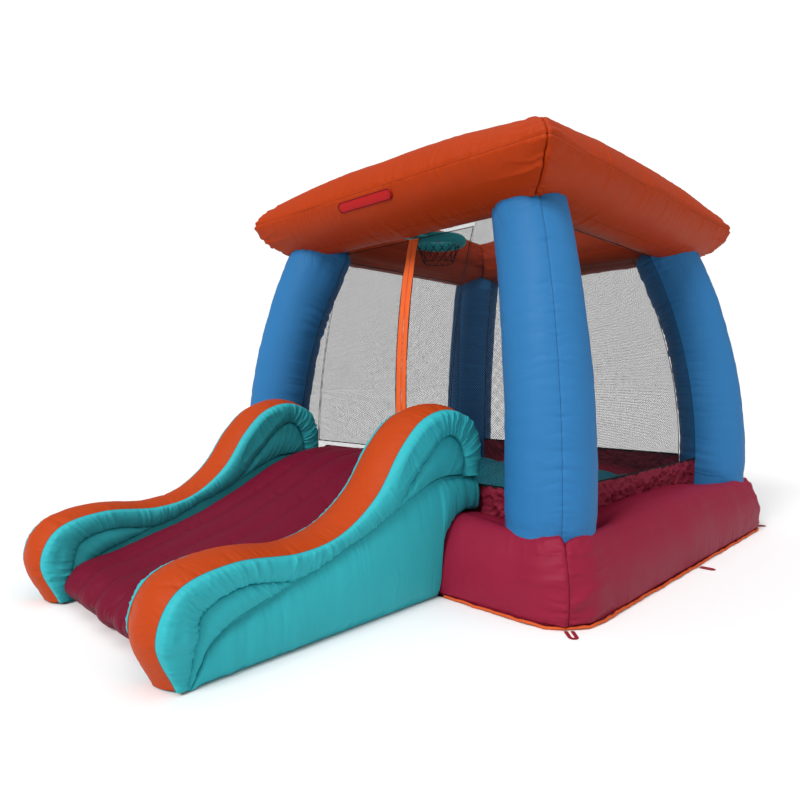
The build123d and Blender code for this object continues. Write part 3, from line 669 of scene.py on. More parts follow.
def wall_rim(top, rim, half, middle, face, seed):
    """The puffed channel along a wall's edge, from the band's seam to the pocket's seam."""
    width = np.linalg.norm(top - rim, axis=1)
    v = np.linspace(0, 1, int(0.115 / (0.7 * FINE)) + 4)[None, :]
    y = top[:, 0][:, None] * (1 - v) + rim[:, 0][:, None] * v
    z = top[:, 1][:, None] * (1 - v) + rim[:, 1][:, None] * v
    wide = width[:, None]
    off = 0.30 * wide * np.sqrt(np.clip(1 - (2 * v**0.9 - 1) ** 2, 0, 1)) - 0.004 * v
    off = np.minimum(off, 0.034) * (1 if face > 0 else 0.85)
    run = run_of(top)[:, None]
    inner_run = run_of(rim)[:, None]
    bend = bend_weight(top)[:, None]
    grid = wall_point(y, z, half, middle, face, off)
    amount = bend * gathers(run, v * wide, seed, 0.0037, 0.0105, 0.034)
    amount = amount + bend * gathers(inner_run * 1.15, (1 - v) * wide, seed + 1, 0.0039, 0.0105, 0.028)
    amount = amount + 0.0020 * noise_field(run * 9, v * 2, seed + 2)
    hold = np.clip(v / 0.12, 0, 1) * np.clip((1 - v) / 0.08, 0, 1)
    return pushed(grid, amount * hold, flip=face > 0)


def wall_pocket(edge, support, half, middle, face, seed):
    """A softly crowned panel between the rim's inner seam and the support chamber."""
    t = np.linspace(0, 1, len(edge))[:, None]
    v = np.linspace(0, 1, int(0.16 / FINE) + 3)[None, :]
    y = edge[:, 0][:, None] * (1 - v) + support[:, 0][:, None] * v
    z = edge[:, 1][:, None] * (1 - v) + support[:, 1][:, None] * v
    tall = np.linalg.norm(edge - support, axis=1)[:, None]
    crown = np.minimum(0.24 * tall, 0.026) * np.sin(math.pi * np.clip(v, 0, 1)) ** 0.6
    off = -0.004 + crown + 0.004 * v
    grid = wall_point(y, z, half, middle, face, off)
    run, low_run = run_of(edge)[:, None], run_of(support)[:, None]
    amount = gathers(run, v * tall, seed, 0.0026, 0.0125, 0.020)
    amount = amount + gathers(low_run, (1 - v) * tall, seed + 1, 0.0028, 0.014, 0.026)
    hold = np.clip(v / 0.08, 0, 1) * np.clip((1 - v) / 0.08, 0, 1)
    return pushed(grid, amount * hold, flip=face > 0)


def line_between(line, first_y, last_y, count):
    """Points of a (y, z) line between two values of y."""
    y = np.linspace(first_y, last_y, count)
    order = np.argsort(line[:, 0])
    return np.stack([y, np.interp(y, line[order, 0], line[order, 1])], axis=1)


def slide_wall(name, low, high, seed):
    top, rim = matched_lines(WALL_TOP_LINE, WALL_INNER_LINE, 0.65 * FINE)
    support = smooth_line(SUPPORT_LINE, step=0.005)
    middle, half = (low + high) / 2, (high - low) / 2
    w = np.linspace(-1, 1, int(2 * half / FINE) + 1)[None, :]
    step = np.gradient(top, axis=0)
    step /= np.linalg.norm(step, axis=1, keepdims=True)
    out = np.stack([step[:, 1], -step[:, 0]], axis=1)
    crown = 0.024 * (1 - np.abs(w) ** 2.2)
    y = top[:, 0][:, None] + out[:, 0][:, None] * crown
    z = np.maximum(top[:, 1][:, None] + out[:, 1][:, None] * crown, 0.004)
    x = middle + w * half * foot_taper(top[:, :1], top[:, 1:], w)
    band = points(x, y, z)
    run = run_of(top)[:, None]
    edge = (1 - np.abs(w)) * half
    bend = bend_weight(top)[:, None]
    amount = bend * gathers(run + 0.3 * (w > 0), edge, seed, 0.0020, 0.0115, 0.040)
    amount = amount + 0.0022 * noise_field(run * 7, w * 1.5, seed + 3)
    band = pushed(band, amount * np.clip(edge / 0.006, 0, 1), flip=False)
    skin, panels = Skin(), Skin()
    for face in (-1, 1):
        offset = seed + 20 * (face + 2)
        edge_grid = toed_in(wall_rim(top, rim, half, middle, face, offset), name)
        skin.add(edge_grid, flip=face < 0)
        for line in (edge_grid[:, 0], edge_grid[:, -1]):
            skin.add(seam_cord(line, 0.0010), True, material=1)
        upper = rim[rim[:, 0] > -1.515]
        lower = rim[rim[:, 0] < -1.955]
        for number, edge_line in enumerate((upper, lower)):
            bottom = line_between(support, edge_line[0, 0], edge_line[-1, 0], len(edge_line))
            bottom = even(bottom, count=len(edge_line))
            bottom[:, 1] = np.minimum(bottom[:, 1] + 0.004, edge_line[:, 1])
            pocket = wall_pocket(edge_line, bottom, half, middle, face, offset + 5 * number)
            panels.add(toed_in(pocket, name), flip=face < 0)
    return skin, Skin().add(toed_in(band, name), flip=True), panels


def tube_top(y):
    """Height of the front ground tube's skin under a point at y, and the ground in front of it."""
    at = (-1.235, -1.224, -1.222, -1.186, -1.128, -1.045, -0.900)
    return np.interp(y, at, (0.0, 0.08, 0.16, 0.258, 0.326, 0.349, 0.330))


def slide_support(low, high, face, seed):
    """The chamber under a wall. face is the side that looks away from the bed."""
    line = smooth_line(SUPPORT_LINE, step=FINE)
    y, top = line[:, 0][:, None], np.maximum(line[:, 1], 0.006)[:, None]
    bottom = np.minimum(tube_top(y), top - 0.004)
    bottom = np.maximum(bottom, 0.004)
    tall = top - bottom
    rise = np.linspace(0, 1, int(0.45 / FINE))
    over = np.linspace(0, 1, 14)[1:-1]
    inner = low if face > 0 else high
    outer = high if face > 0 else low
    swell = np.clip(tall / 0.3, 0, 1)
    outer_off = 0.014 + 0.020 * np.sin(math.pi * rise[None, :] ** 0.8) * swell - 0.022 * rise[None, :] ** 8
    inner_off = 0.002 * np.sin(math.pi * rise[None, :])
    outer_x = outer + face * (outer_off - 0.018 * np.exp(-rise[None, :] / 0.04))
    taper = 0.55 * soft_step(np.clip((-2.12 - y) / 0.24, 0, 1))
    inner_x = inner - face * inner_off
    middle = (low + high) / 2
    inner_x = inner_x + (middle - inner_x) * taper * (face > 0)
    outer_x = outer_x + (middle - outer_x) * taper * (face < 0)
    outer_z = bottom + tall * rise[None, :]
    top_x = outer_x[:, -1:] + (inner_x[:, -1:] - outer_x[:, -1:]) * over[None, :]
    top_z = top + 0 * over[None, :]
    bottom_x = inner_x[:, :1] + (outer_x[:, :1] - inner_x[:, :1]) * over
    x = np.concatenate([outer_x, top_x, inner_x[:, ::-1], bottom_x], axis=1)
    z = np.concatenate([outer_z, top_z, outer_z[:, ::-1], bottom + 0 * over[None, :]], axis=1)
    x, z = np.concatenate([x, x[:, :1]], axis=1), np.concatenate([z, z[:, :1]], axis=1)
    grid = points(x, y, z)
    run = run_of(line)[:, None]
    height = z - bottom
    amount = gathers(run, top - z, seed, 0.0024, 0.0135, 0.030)
    amount = amount + gathers(run * 1.03, height, seed + 1, 0.0034, 0.018, 0.045)
    amount = amount + 0.0035 * noise_field(run * 4, z * 5, seed + 2) * swell
    rear = np.clip((SUPPORT_BACK - y) / 0.02, 0, 1)
    side = np.zeros(x.shape)
    side[:, 2 : len(rise) - 2] = 1
    side[:, len(rise) + 14 : 2 * len(rise) + 10] = 0.4
    amount = amount * side * np.clip(tall / 0.06, 0, 1) * rear
    grid = pushed(grid, amount, flip=face < 0)
    grid[:, -1] = grid[:, 0]
    name = "right" if face > 0 else "left"
    skin = Skin().add(toed_in(grid, name), flip=face < 0)
    scale = np.linspace(1, 0, 12)[:, None, None]
    ring = grid[-1]
    centre = ring.mean(axis=0)
    end = centre + (ring - centre)[None] * scale
    end[..., 1] += 0.012 * (1 - scale[..., 0] ** 2)
    return skin.add(toed_in(end, name), flip=face < 0)


def slide_bed(seed):
    low, high = SLIDE_LEFT + 0.002, SLIDE_RIGHT - 0.002
    surface = smooth_line(BED_LINE, step=FINE)
    rear = even(np.array([(-0.880, 0.545), (-0.862, 0.535), (-0.862, 0.330)]), step=0.012)
    floor = np.array([
        (-0.862, 0.330), (-0.960, 0.344), (-1.045, 0.351), (-1.130, 0.330),
        (-1.190, 0.262), (-1.228, 0.150), (-1.226, 0.005),
    ])
    closing = even(np.array([floor[-1], surface[0]]), step=0.03)
    section = joined(surface, rear, even(floor, step=0.02), closing)
    across = np.linspace(0, 1, int((high - low) / FINE) + 1)
    edge_x = low + np.clip(SUPPORT_BACK - section[None, :, 0], 0, None) * math.tan(TOE_IN)
    x = edge_x + (high - edge_x) * across[:, None]
    grid = points(x, section[None, :, 0], section[None, :, 1])
    run = run_of(section)[None, :]
    shown = np.clip((run_of(surface)[-1] - run) / 0.03, 0, 1)
    across = across[:, None]
    channel = np.abs(np.sin(CHANNELS * math.pi * across)) ** 0.8
    valley = 0.099 * np.minimum(across * CHANNELS % 1, 1 - across * CHANNELS % 1) * 2
    edge = (high - low) * np.minimum(across, 1 - across)
    amount = 0.015 * (channel - 0.75) + 0.008 * (1 - (2 * across - 1) ** 2) - 0.018 * np.exp(-edge / 0.015)
    amount = amount + gathers(run, valley, seed, 0.0022, 0.026, 0.035)
    amount = amount + gathers(x, run, seed + 1, 0.0065, 0.024, 0.075)
    amount = amount + 0.0030 * noise_field(run * 6, across * 8, seed + 2)
    grid = pushed(grid, amount * shown * np.clip(run / 0.02, 0.3, 1), flip=False)
    grid[..., 0] = np.clip(grid[..., 0], edge_x, high)
    grid[..., 2] = np.maximum(grid[..., 2], 0.004)
    grid[:, -1] = grid[:, 0]
    return Skin().add(grid, flip=True).cap(grid[0], flip=False).cap(grid[-1], flip=True)


def bounce_floor(seed):
    """The floor chamber, sewn into channels that run front to back."""
    half = BASE_INNER - 0.004
    line = np.linspace(-half, half, int(2 * half / (1.6 * FINE)))
    x, y = line[:, None] + 0 * line[None, :], line[None, :] + 0 * line[:, None]
    across = (x + half) / (2 * half)
    near = half / CHANNELS * (1 - np.abs(2 * (across * CHANNELS % 1) - 1))
    channel = np.abs(np.sin(CHANNELS * math.pi * across)) ** 0.5
    edge = half - np.maximum(np.abs(x), np.abs(y))
    z = FLOOR_TOP - 0.030 * (1 - channel) - 0.05 * np.exp(-edge / 0.03)
    z = z + gathers(y, near, seed, 0.005, 0.03, 0.05)
    top = np.stack([x, y, z], axis=-1)
    skin = Skin().add(top, flip=False)
    bottom = top[:: len(line) - 1, :: len(line) - 1].copy()
    bottom[..., 2] = 0.006
    skin.add(bottom, flip=True)
    sides = ((top[0], True), (top[-1], False), (top[:, 0], False), (top[:, -1], True))
    for rim, flip in sides:
        foot = rim.copy()
        foot[:, 2] = 0.006
        skin.add(np.stack([rim, rim * 0.4 + foot * 0.6, foot], axis=0), flip=flip)
    return skin


def build_slide():
    bed = slide_bed(400).make("slide_bed_cloth", MAROON)
    place(bed, "slide_bed")
    walls = (("left", WALL_LEFT, SLIDE_LEFT, -1, 420), ("right", SLIDE_RIGHT, WALL_RIGHT, 1, 520))
    for name, low, high, face, seed in walls:
        rim, band, panels = slide_wall(name, low + 0.001, high - 0.001, seed)
        wall = rim.make(f"slide_wall_{name}_cloth", [TURQUOISE, TURQUOISE_THREAD_AND_SHADE])
        place(wall, f"slide_wall_{name}")
        strip = band.make(f"slide_wall_{name}_band_cloth", BAND_ORANGE)
        place(strip, f"slide_wall_{name}_band")
        pocket = panels.make(f"slide_wall_{name}_panels_cloth", TURQUOISE)
        place(pocket, f"slide_wall_{name}_panels")
        support = slide_support(low, high, face, seed + 80).make(f"slide_support_{name}_cloth", TURQUOISE)
        place(support, f"slide_support_{name}")
    floor = bounce_floor(600).make("bounce_floor_cloth", TEAL)
    place(floor, "bounce_floor")


# ---- nets and skirts ----
THREAD_PITCH = 0.0080
THREAD_WIDTH = 0.00155


def net_out(z):
    return column_centre(z) - NET_INSET


def panel_edge(z):
    """Where a net panel meets the side of a column."""
    rise = np.maximum(0.0, z - BEND_START)
    upright = np.sqrt(BEND_RADIUS**2 - rise**2) / BEND_RADIUS
    return column_centre(z) - COLUMN_RADIUS * np.sqrt((1 + 1 / upright**2) / 2) - 0.004


def slit_x(z):
    return SLIT_BOTTOM_X + (z - ENTRY_BOTTOM) / (SLIT_TOP_Z - ENTRY_BOTTOM) * (SLIT_TOP_X - SLIT_BOTTOM_X)


def net_place(side, left, right, low, high, seed):
    """Returns a function from shares (across, up) of a panel to points on it."""
    def point(across, up):
        z = low + (high - low) * up
        across_at = left(z) + (right(z) - left(z)) * across
        hold = np.sin(math.pi * np.clip(across, 0, 1)) * np.sin(math.pi * np.clip(up, 0, 1))
        ripple = 0.006 * hold * noise_field(across * 3 + seed, up * 3, seed)
        if side == "front":
            x, y = across_at, -(net_out(z) + ripple)
        elif side == "back":
            x, y = across_at, net_out(z) + ripple
        else:
            x, y = SIDES[side][0] * (net_out(z) + ripple), across_at
        return points(x, y, z)

    return point


def add_ribbon(skin, point, start, end, width, scale, segment=0.08):
    """Flat strip between two places of a panel given as shares, width in metres."""
    start, end = np.array(start, float), np.array(end, float)
    size = np.linalg.norm((end - start) * scale)
    if size < 1e-4:
        return
    count = max(2, int(size / segment) + 2)
    t = np.linspace(0, 1, count)[:, None]
    line = start + (end - start) * t
    heading = (end - start) * scale / size
    offset = np.array([-heading[1], heading[0]]) * width / 2 / scale
    rails = [point(*(line + s * offset).T) for s in (1, -1)]
    skin.add(np.stack(rails, axis=1))


def net_threads(point, width, height, border=0.005, foot=0.005, square=False):
    """A panel of netting: two sets of crossing threads and a bound edge, wider at its foot."""
    skin = Skin()
    scale = np.array([width, height])
    if square:
        for x in np.arange(THREAD_PITCH / 2, width, THREAD_PITCH):
            add_ribbon(skin, point, (x / width, 0), (x / width, 1), THREAD_WIDTH, scale)
        for y in np.arange(THREAD_PITCH / 2, height, THREAD_PITCH):
            add_ribbon(skin, point, (0, y / height), (1, y / height), THREAD_WIDTH, scale)
    pitch = THREAD_PITCH * math.sqrt(2)
    for rising in () if square else (1, -1):
        for c in np.arange(pitch / 2, width + height, pitch):
            low_x, high_x = max(0.0, c - height), min(c, width)
            if high_x - low_x < 0.004:
                continue
            ends = [(low_x, c - low_x), (high_x, c - high_x)]
            if rising < 0:
                ends = [(width - x, y) for x, y in ends]
            start, end = np.array(ends) / scale
            add_ribbon(skin, point, start, end, THREAD_WIDTH, scale)
    half_u, half_v, half_foot = border / 2 / width, border / 2 / height, foot / 2 / height
    add_ribbon(skin, point, (half_u, 0), (half_u, 1), border, scale)
    add_ribbon(skin, point, (1 - half_u, 0), (1 - half_u, 1), border, scale)
    add_ribbon(skin, point, (0, half_foot), (1, half_foot), foot, scale)
    add_ribbon(skin, point, (0, 1 - half_v), (1, 1 - half_v), border, scale)
    return skin


def skirt_panel(side, left, right, seed):
    """Loose strip of cloth between the ground tube and the foot of a net."""
    low, high = 0.278, NET_BOTTOM + 0.006
    point = net_place(side, left, right, low, high, seed)
    width = float(right(0.37) - left(0.37))
    across = np.linspace(0, 1, int(width / (0.9 * FINE)) + 2)[:, None]
    up = np.linspace(0, 1, int((high - low) / (0.8 * FINE)) + 2)[None, :]
    grid = point(across + 0 * up, up + 0 * across)
    run = across * width
    corner = np.exp(-np.minimum(across, 1 - across) * width / 0.16)
    lean = (0.35 + 0.5 * corner) * (high - low) * (1 - up)
    loose = np.clip(np.minimum(across, 1 - across) * width / 0.02, 0, 1) * np.clip((1 - up) / 0.12, 0, 1)
    slant = run + 1.1 * up * (high - low) * np.sign(0.5 - across)
    amount = crumple(run, up * (high - low) * 1.2, seed, 0.055, 0.0085) * loose - 0.05 * lean
    amount = amount - 0.010 * (1 - np.abs(noise_line(slant / 0.045, seed + 7))) ** 2 * loose * (0.4 + corner)
    amount = amount + gathers(run, (1 - up) * (high - low), seed + 5, 0.004, 0.02, 0.03) * loose
    return Skin().add(pushed(grid, amount)), width, high - low


def build_nets():
    inner_left, inner_right = SLIDE_LEFT - 0.004, SLIDE_RIGHT + 0.004
    spans = {
        "right": ("right", lambda z: -panel_edge(z), panel_edge),
        "back": ("back", lambda z: -panel_edge(z), panel_edge),
        "left": ("left", lambda z: -panel_edge(z), panel_edge),
        "front_left": ("front", lambda z: -panel_edge(z), lambda z: inner_left + 0 * z),
        "front_right": ("front", lambda z: inner_right + 0 * z, panel_edge),
    }
    for number, (name, (side, left, right)) in enumerate(spans.items()):
        low, high = NET_BOTTOM, NET_TOP[side]
        height = high - low
        width = float(right(1.0) - left(1.0))
        point = net_place(side, left, right, low, high, 700 + number)
        square = side in ("left", "right")
        threads = net_threads(point, width, height, 0.005, 0.014, square)
        net = threads.make(f"net_{name}_mesh", NET_BLACK, weld=0)
        place(net, f"net_{name}")
        skin, wide, tall = skirt_panel(side, left, right, 720 + 10 * number)
        skirt = skin.make(f"skirt_{name}_cloth", SKIRT, weld=0)
        place(skirt, f"skirt_{name}")
    flap_left, flap_right = inner_left + 0.004, inner_right - 0.004
    full = 0.0015 + BINDING_WIDTH
    flaps = {
        "left": (lambda z: flap_left + 0 * z, lambda z: slit_x(z) - full + 0.002),
        "right": (lambda z: slit_x(z) + full - 0.002, lambda z: flap_right + 0 * z),
    }
    for name, (left, right) in flaps.items():
        low, high = ENTRY_BOTTOM, FLAP_TOP
        width = float(right(1.1) - left(1.1))
        point = net_place("front", left, right, low, high, 760)
        net = net_threads(point, width, high - low).make(f"entry_net_{name}_mesh", NET_BLACK, weld=0)
        place(net, f"entry_net_{name}", body=f"entry_flap_{name}")
        sign = -1 if name == "left" else 1
        z = np.linspace(low, high, int(1.0 / 0.008))[:, None]
        across = np.linspace(0, 1, 9)[None, :]
        x = slit_x(z) + sign * (0.0015 + BINDING_WIDTH * across)
        fold = 0.0030 * np.sin(math.pi * across) + 0.0020 * noise_field(z * 14, across * 2, 771 + sign)
        y = -net_out(z) + 0.001 - fold
        face = points(x, y, z)
        back = face + np.array([0, 0.003, 0])
        skin = Skin().add(face, flip=sign > 0).add(back, flip=sign < 0)
        for side_strip in (0, -1):
            strip = np.stack([face[:, side_strip], back[:, side_strip]], axis=1)
            skin.add(strip, flip=(side_strip == 0) == (sign < 0))
        for end in (0, -1):
            skin.add(np.stack([face[end], back[end]], axis=0), flip=(end == 0) == (sign > 0))
        tape = skin.make(f"entry_binding_{name}_tape", BINDING)
        place(tape, f"entry_binding_{name}", body=f"entry_flap_{name}")
    half_x, half_y = CANOPY_HALF[0] - 0.425, CANOPY_HALF[1] - 0.425

    def roof_point(across, up):
        x, y = (2 * across - 1) * half_x, (2 * up - 1) * half_y
        z = ROOF_NET_Z - 0.020 * np.cos(x / half_x * math.pi / 2) * np.cos(y / half_y * math.pi / 2)
        return points(x, y, z)

    roof = net_threads(roof_point, 2 * half_x, 2 * half_y).make("roof_net_mesh", NET_BLACK, weld=0)
    place(roof, "roof_net")


# ---- small pieces ----
def tube(path, radius, sides=10, flat=1.0, closed=False, up=(0, 0, 1)):
    """Grid of points round a path: radius across, and radius times flat along up."""
    path = np.array(path, float)
    step = np.gradient(path, axis=0)
    if closed:
        step[0] = step[-1] = path[1] - path[-2]
    step /= np.linalg.norm(step, axis=1, keepdims=True)
    side = np.cross(step, np.broadcast_to(np.array(up, float), step.shape))
    side /= np.maximum(np.linalg.norm(side, axis=1, keepdims=True), 1e-9)
    over = np.cross(side, step)
    angle = np.linspace(0, math.tau, sides + 1)
    radius = np.broadcast_to(np.asarray(radius, float), (len(path),))[:, None, None]
    ring = side[:, None] * np.cos(angle)[None, :, None] + over[:, None] * flat * np.sin(angle)[None, :, None]
    return path[:, None] + radius * ring


def box_grid(centre, size, round_share=0.25):
    """Small block with softened edges, as a closed loft along X."""
    centre, size = np.array(centre, float), np.array(size, float) / 2
    angle = np.linspace(0, math.tau, 33)
    power = 0.25
    ring_y = np.sign(np.cos(angle)) * np.abs(np.cos(angle)) ** power
    ring_z = np.sign(np.sin(angle)) * np.abs(np.sin(angle)) ** power
    shares = np.array([0, 1 - round_share, 1, 1, 1 - round_share, 0])
    stations = np.array([-1, -1, -1 + round_share / 2, 1 - round_share / 2, 1, 1])
    grid = np.stack(
        [
            centre[0] + size[0] * stations[:, None] + 0 * ring_y[None],
            centre[1] + size[1] * shares[:, None] * ring_y[None],
            centre[2] + size[2] * shares[:, None] * ring_z[None],
        ],
        axis=-1,
    )
    return grid


def hem_path(reach, corner, step):
    """Rounded square round the house on the ground, starting in front of the slide's right wall."""
    straight = reach - corner
    angles = np.linspace(0, math.pi / 2, 14)
    points = []
    for turn in range(4):
        centre = np.array([(1, -1), (1, 1), (-1, 1), (-1, -1)][turn]) * straight
        start = -math.pi / 2 + turn * math.pi / 2
        points += [centre + corner * np.array([math.cos(start + a), math.sin(start + a)]) for a in angles]
    points = [np.array([WALL_RIGHT + 0.03, -reach])] + points + [np.array([WALL_LEFT - 0.03, -reach])]
    return even(np.array(points), step=step)


def build_hem():
    path = hem_path(BASE_HALF + 0.004, BASE_CORNER, 0.006)
    run = run_of(path)
    out = path / np.linalg.norm(path, axis=1, keepdims=True)
    wave = 0.0035 * noise_line(run / 0.040, 801) + 0.0020 * noise_line(run / 0.015, 802)
    line = path + out * wave[:, None]
    z = 0.0085 + 0.0030 * noise_line(run / 0.033, 803)
    hem = tube(np.column_stack([line, z]), 0.0062, sides=10, flat=0.9)
    hem[..., 2] = np.maximum(hem[..., 2], 0.001)
    piping = Skin().add(hem, flip=True).cap(hem[0]).cap(hem[-1], True).make("base_piping_cord", PIPING)
    place(piping, "base_piping")
    angles = np.linspace(0, math.tau, 161)
    power = 0.28
    ring = BASE_HALF * np.stack([np.sign(np.cos(angles)) * np.abs(np.cos(angles)) ** power,
                                 np.sign(np.sin(angles)) * np.abs(np.sin(angles)) ** power], axis=1)
    shares = np.linspace(0.001, 1, 40)[:, None, None]
    flat_sheet = ring[None] * shares
    low = np.concatenate([flat_sheet, np.full(flat_sheet.shape[:2] + (1,), 0.0)], axis=-1)
    high = np.concatenate([flat_sheet, np.full(flat_sheet.shape[:2] + (1,), 0.003)], axis=-1)
    skin = Skin().add(low, True).add(high).add(np.stack([low[-1], high[-1]]))
    ground = skin.make("ground_sheet_cloth", UNDERSIDE)
    place(ground, "ground_sheet")


def hoop_circle(radius, angle, z):
    """Points round the hoop's middle."""
    return points(HOOP[0] + radius * np.cos(angle), HOOP[1] + radius * np.sin(angle), z)


def build_hoop():
    angle = np.linspace(0, math.tau, 181)
    path = hoop_circle(HOOP_RADIUS, angle, HOOP[2])
    grid = tube(path, HOOP_TUBE, sides=28, closed=True)
    turn = np.linspace(0, math.tau, 29)[None, :]
    girth = (angle * HOOP_RADIUS)[:, None]
    seam = HOOP_TUBE * np.abs(turn - math.pi)
    amount = gathers(girth, seam, 811, 0.0020, 0.012, 0.016) + 0.0008 * noise_field(girth * 40, turn * 2, 812)
    grid = pushed(grid, amount, flip=True)
    grid[-1], grid[:, -1] = grid[0], grid[:, 0]
    ring = Skin().add(grid, flip=True).make("hoop_ring_cloth", TURQUOISE)
    place(ring, "hoop_ring")
    tabs = Skin()
    for offset in (-0.055, 0.055):
        y = np.linspace(HOOP[1] - 0.232, HOOP[1] - HOOP_RADIUS + 0.006, 16)[:, None]
        across = np.linspace(-0.015, 0.015, 7)[None, :]
        z = HOOP[2] + 0.002 + 0.003 * np.sin((y - HOOP[1]) * 40) + 0 * across
        x = HOOP[0] + offset + across + 0 * y
        face = points(x, y, z)
        under = face - np.array([0, 0, 0.003])
        tabs.add(face).add(under, flip=True)
        for k in (0, -1):
            tabs.add(np.stack([face[:, k], under[:, k]], axis=1), flip=k == -1)
            tabs.add(np.stack([face[k], under[k]], axis=0), flip=k == 0)
    strap = tabs.make("hoop_tabs_cloth", TURQUOISE)
    place(strap, "hoop_tabs")
    cords = Skin()
    count = 14
    for k in range(count):
        for sense in (1, -1):
            t = np.linspace(0, 1, 15)
            spin = (k + sense * t * 1.5) * math.tau / count
            radius = HOOP_NET_RADII[0] + (HOOP_NET_RADII[1] - HOOP_NET_RADII[0]) * t
            z = HOOP[2] - HOOP_NET_TOP - HOOP_NET_DROP * t
            line = hoop_circle(radius, spin, z)
            cords.add(tube(line, 0.0017, sides=6), flip=True)
    for level, radius in enumerate(HOOP_NET_RADII):
        line = hoop_circle(radius, angle, HOOP[2] - HOOP_NET_TOP - HOOP_NET_DROP * level)
        cords.add(tube(line, 0.0022, sides=6, closed=True), flip=True)
    net = cords.make("hoop_net_cords", NET_BLACK, weld=0)
    place(net, "hoop_net")


def build_badge():
    low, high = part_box("badge_patch")
    middle_x, middle_z = (low.x + high.x) / 2, (low.z + high.z) / 2
    half_x, half_z = (high.x - low.x) / 2, (high.z - low.z) / 2
    slope = arc(*CANOPY_SLOPE)

    def on_slope(x, z, off):
        inward = np.interp(z, slope[:, 1], slope[:, 0])
        return points(x, -(CANOPY_HALF[1] - inward) - off, z)

    angle = np.linspace(0, math.tau, 97)
    ring_x = np.sign(np.cos(angle)) * (half_x - half_z) + half_z * np.cos(angle)
    ring_z = half_z * np.sin(angle)
    shares = np.array([0.001, 0.3, 0.6, 0.85, 0.97, 1.0, 0.97, 0.5, 0.001])[:, None]
    off = np.array([0.0085, 0.0085, 0.0085, 0.0080, 0.0070, 0.0055, 0.0040, 0.0040, 0.0040])[:, None]
    face = on_slope(middle_x + ring_x[None] * shares, middle_z + ring_z[None] * shares, off)
    badge = Skin().add(face).make("badge_patch_cloth", BADGE)
    place(badge, "badge_patch")
    border = on_slope(middle_x + ring_x * 0.965, middle_z + ring_z * 0.86, 0.0088)
    stitch = tube(border, 0.0016, sides=6, closed=True, up=(0, -1, 0))
    edge = Skin().add(stitch, flip=True).make("badge_patch_stitching", BADGE_EDGE)
    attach(edge, "house")


def build_back():
    """Air inlet sleeve with its tie strap and buckle."""
    start, end = -0.034, 0.280
    out = np.concatenate([np.linspace(start, end, 64), np.linspace(end, start, 64)])[:, None]
    inner = (np.arange(128) >= 64)[:, None]
    turn = np.linspace(0, math.tau, 121)[None, :]
    girth = INLET_RADIUS * turn
    pinch = 0.006 * np.exp(-(((out - 0.2225) / 0.022) ** 2))
    radius = INLET_RADIUS + 0.0015 - 0.003 * inner - pinch + 0.004 * np.clip((out - 0.25) / 0.03, 0, 1)
    wave = gathers(girth, out - 0.2225, 821, 0.0030, 0.018, 0.035)
    wave = wave + gathers(girth, out, 822, 0.0028, 0.018, 0.040)
    radius = radius + wave + 0.003 * noise_field(out * 14, turn * 2.2, 823)
    x, z = INLET[0] + radius * np.cos(turn), INLET[2] + radius * np.sin(turn)
    grid = points(x, INLET[1] + out, z)
    grid[:, -1] = grid[:, 0]
    grid = np.concatenate([grid, grid[:1]])
    sleeve = Skin().add(grid, flip=False).make("inlet_sleeve_cloth", SLEEVE)
    place(sleeve, "inlet_sleeve")
    section = np.array([
        (0.0, 0.2100), (0.0022, 0.2108), (0.0022, 0.2342), (0.0, 0.2350),
        (-0.0012, 0.2342), (-0.0012, 0.2108), (0.0, 0.2100),
    ])
    radius = INLET_RADIUS + 0.0022 + section[:, 0][None, :]
    turn = np.linspace(0, math.tau, 121)[:, None]
    x, z = INLET[0] + radius * np.cos(turn), INLET[2] + radius * np.sin(turn)
    band = points(x, INLET[1] + section[:, 1][None, :], z)
    strap = Skin().add(band, flip=True).make("inlet_strap_webbing", STRAP_BLACK)
    place(strap, "inlet_strap")
    low, high = (np.array(v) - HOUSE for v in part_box("inlet_buckle"))
    centre, size = (low + high) / 2, high - low
    buckle = Skin()
    rails = [(0, 0.42, 1, 0.16), (0, -0.42, 1, 0.16)]
    posts = [(at, 0, 0.12, 0.9) for at in (0.44, -0.44, 0)]
    for dx, dy, sx, sy in rails + posts:
        buckle.add(box_grid(centre + size * (dx, dy, 0), size * (sx, sy, 0.55)), flip=False)
    buckle = buckle.make("inlet_buckle_frame", BUCKLE_BLACK)
    place(buckle, "inlet_buckle")


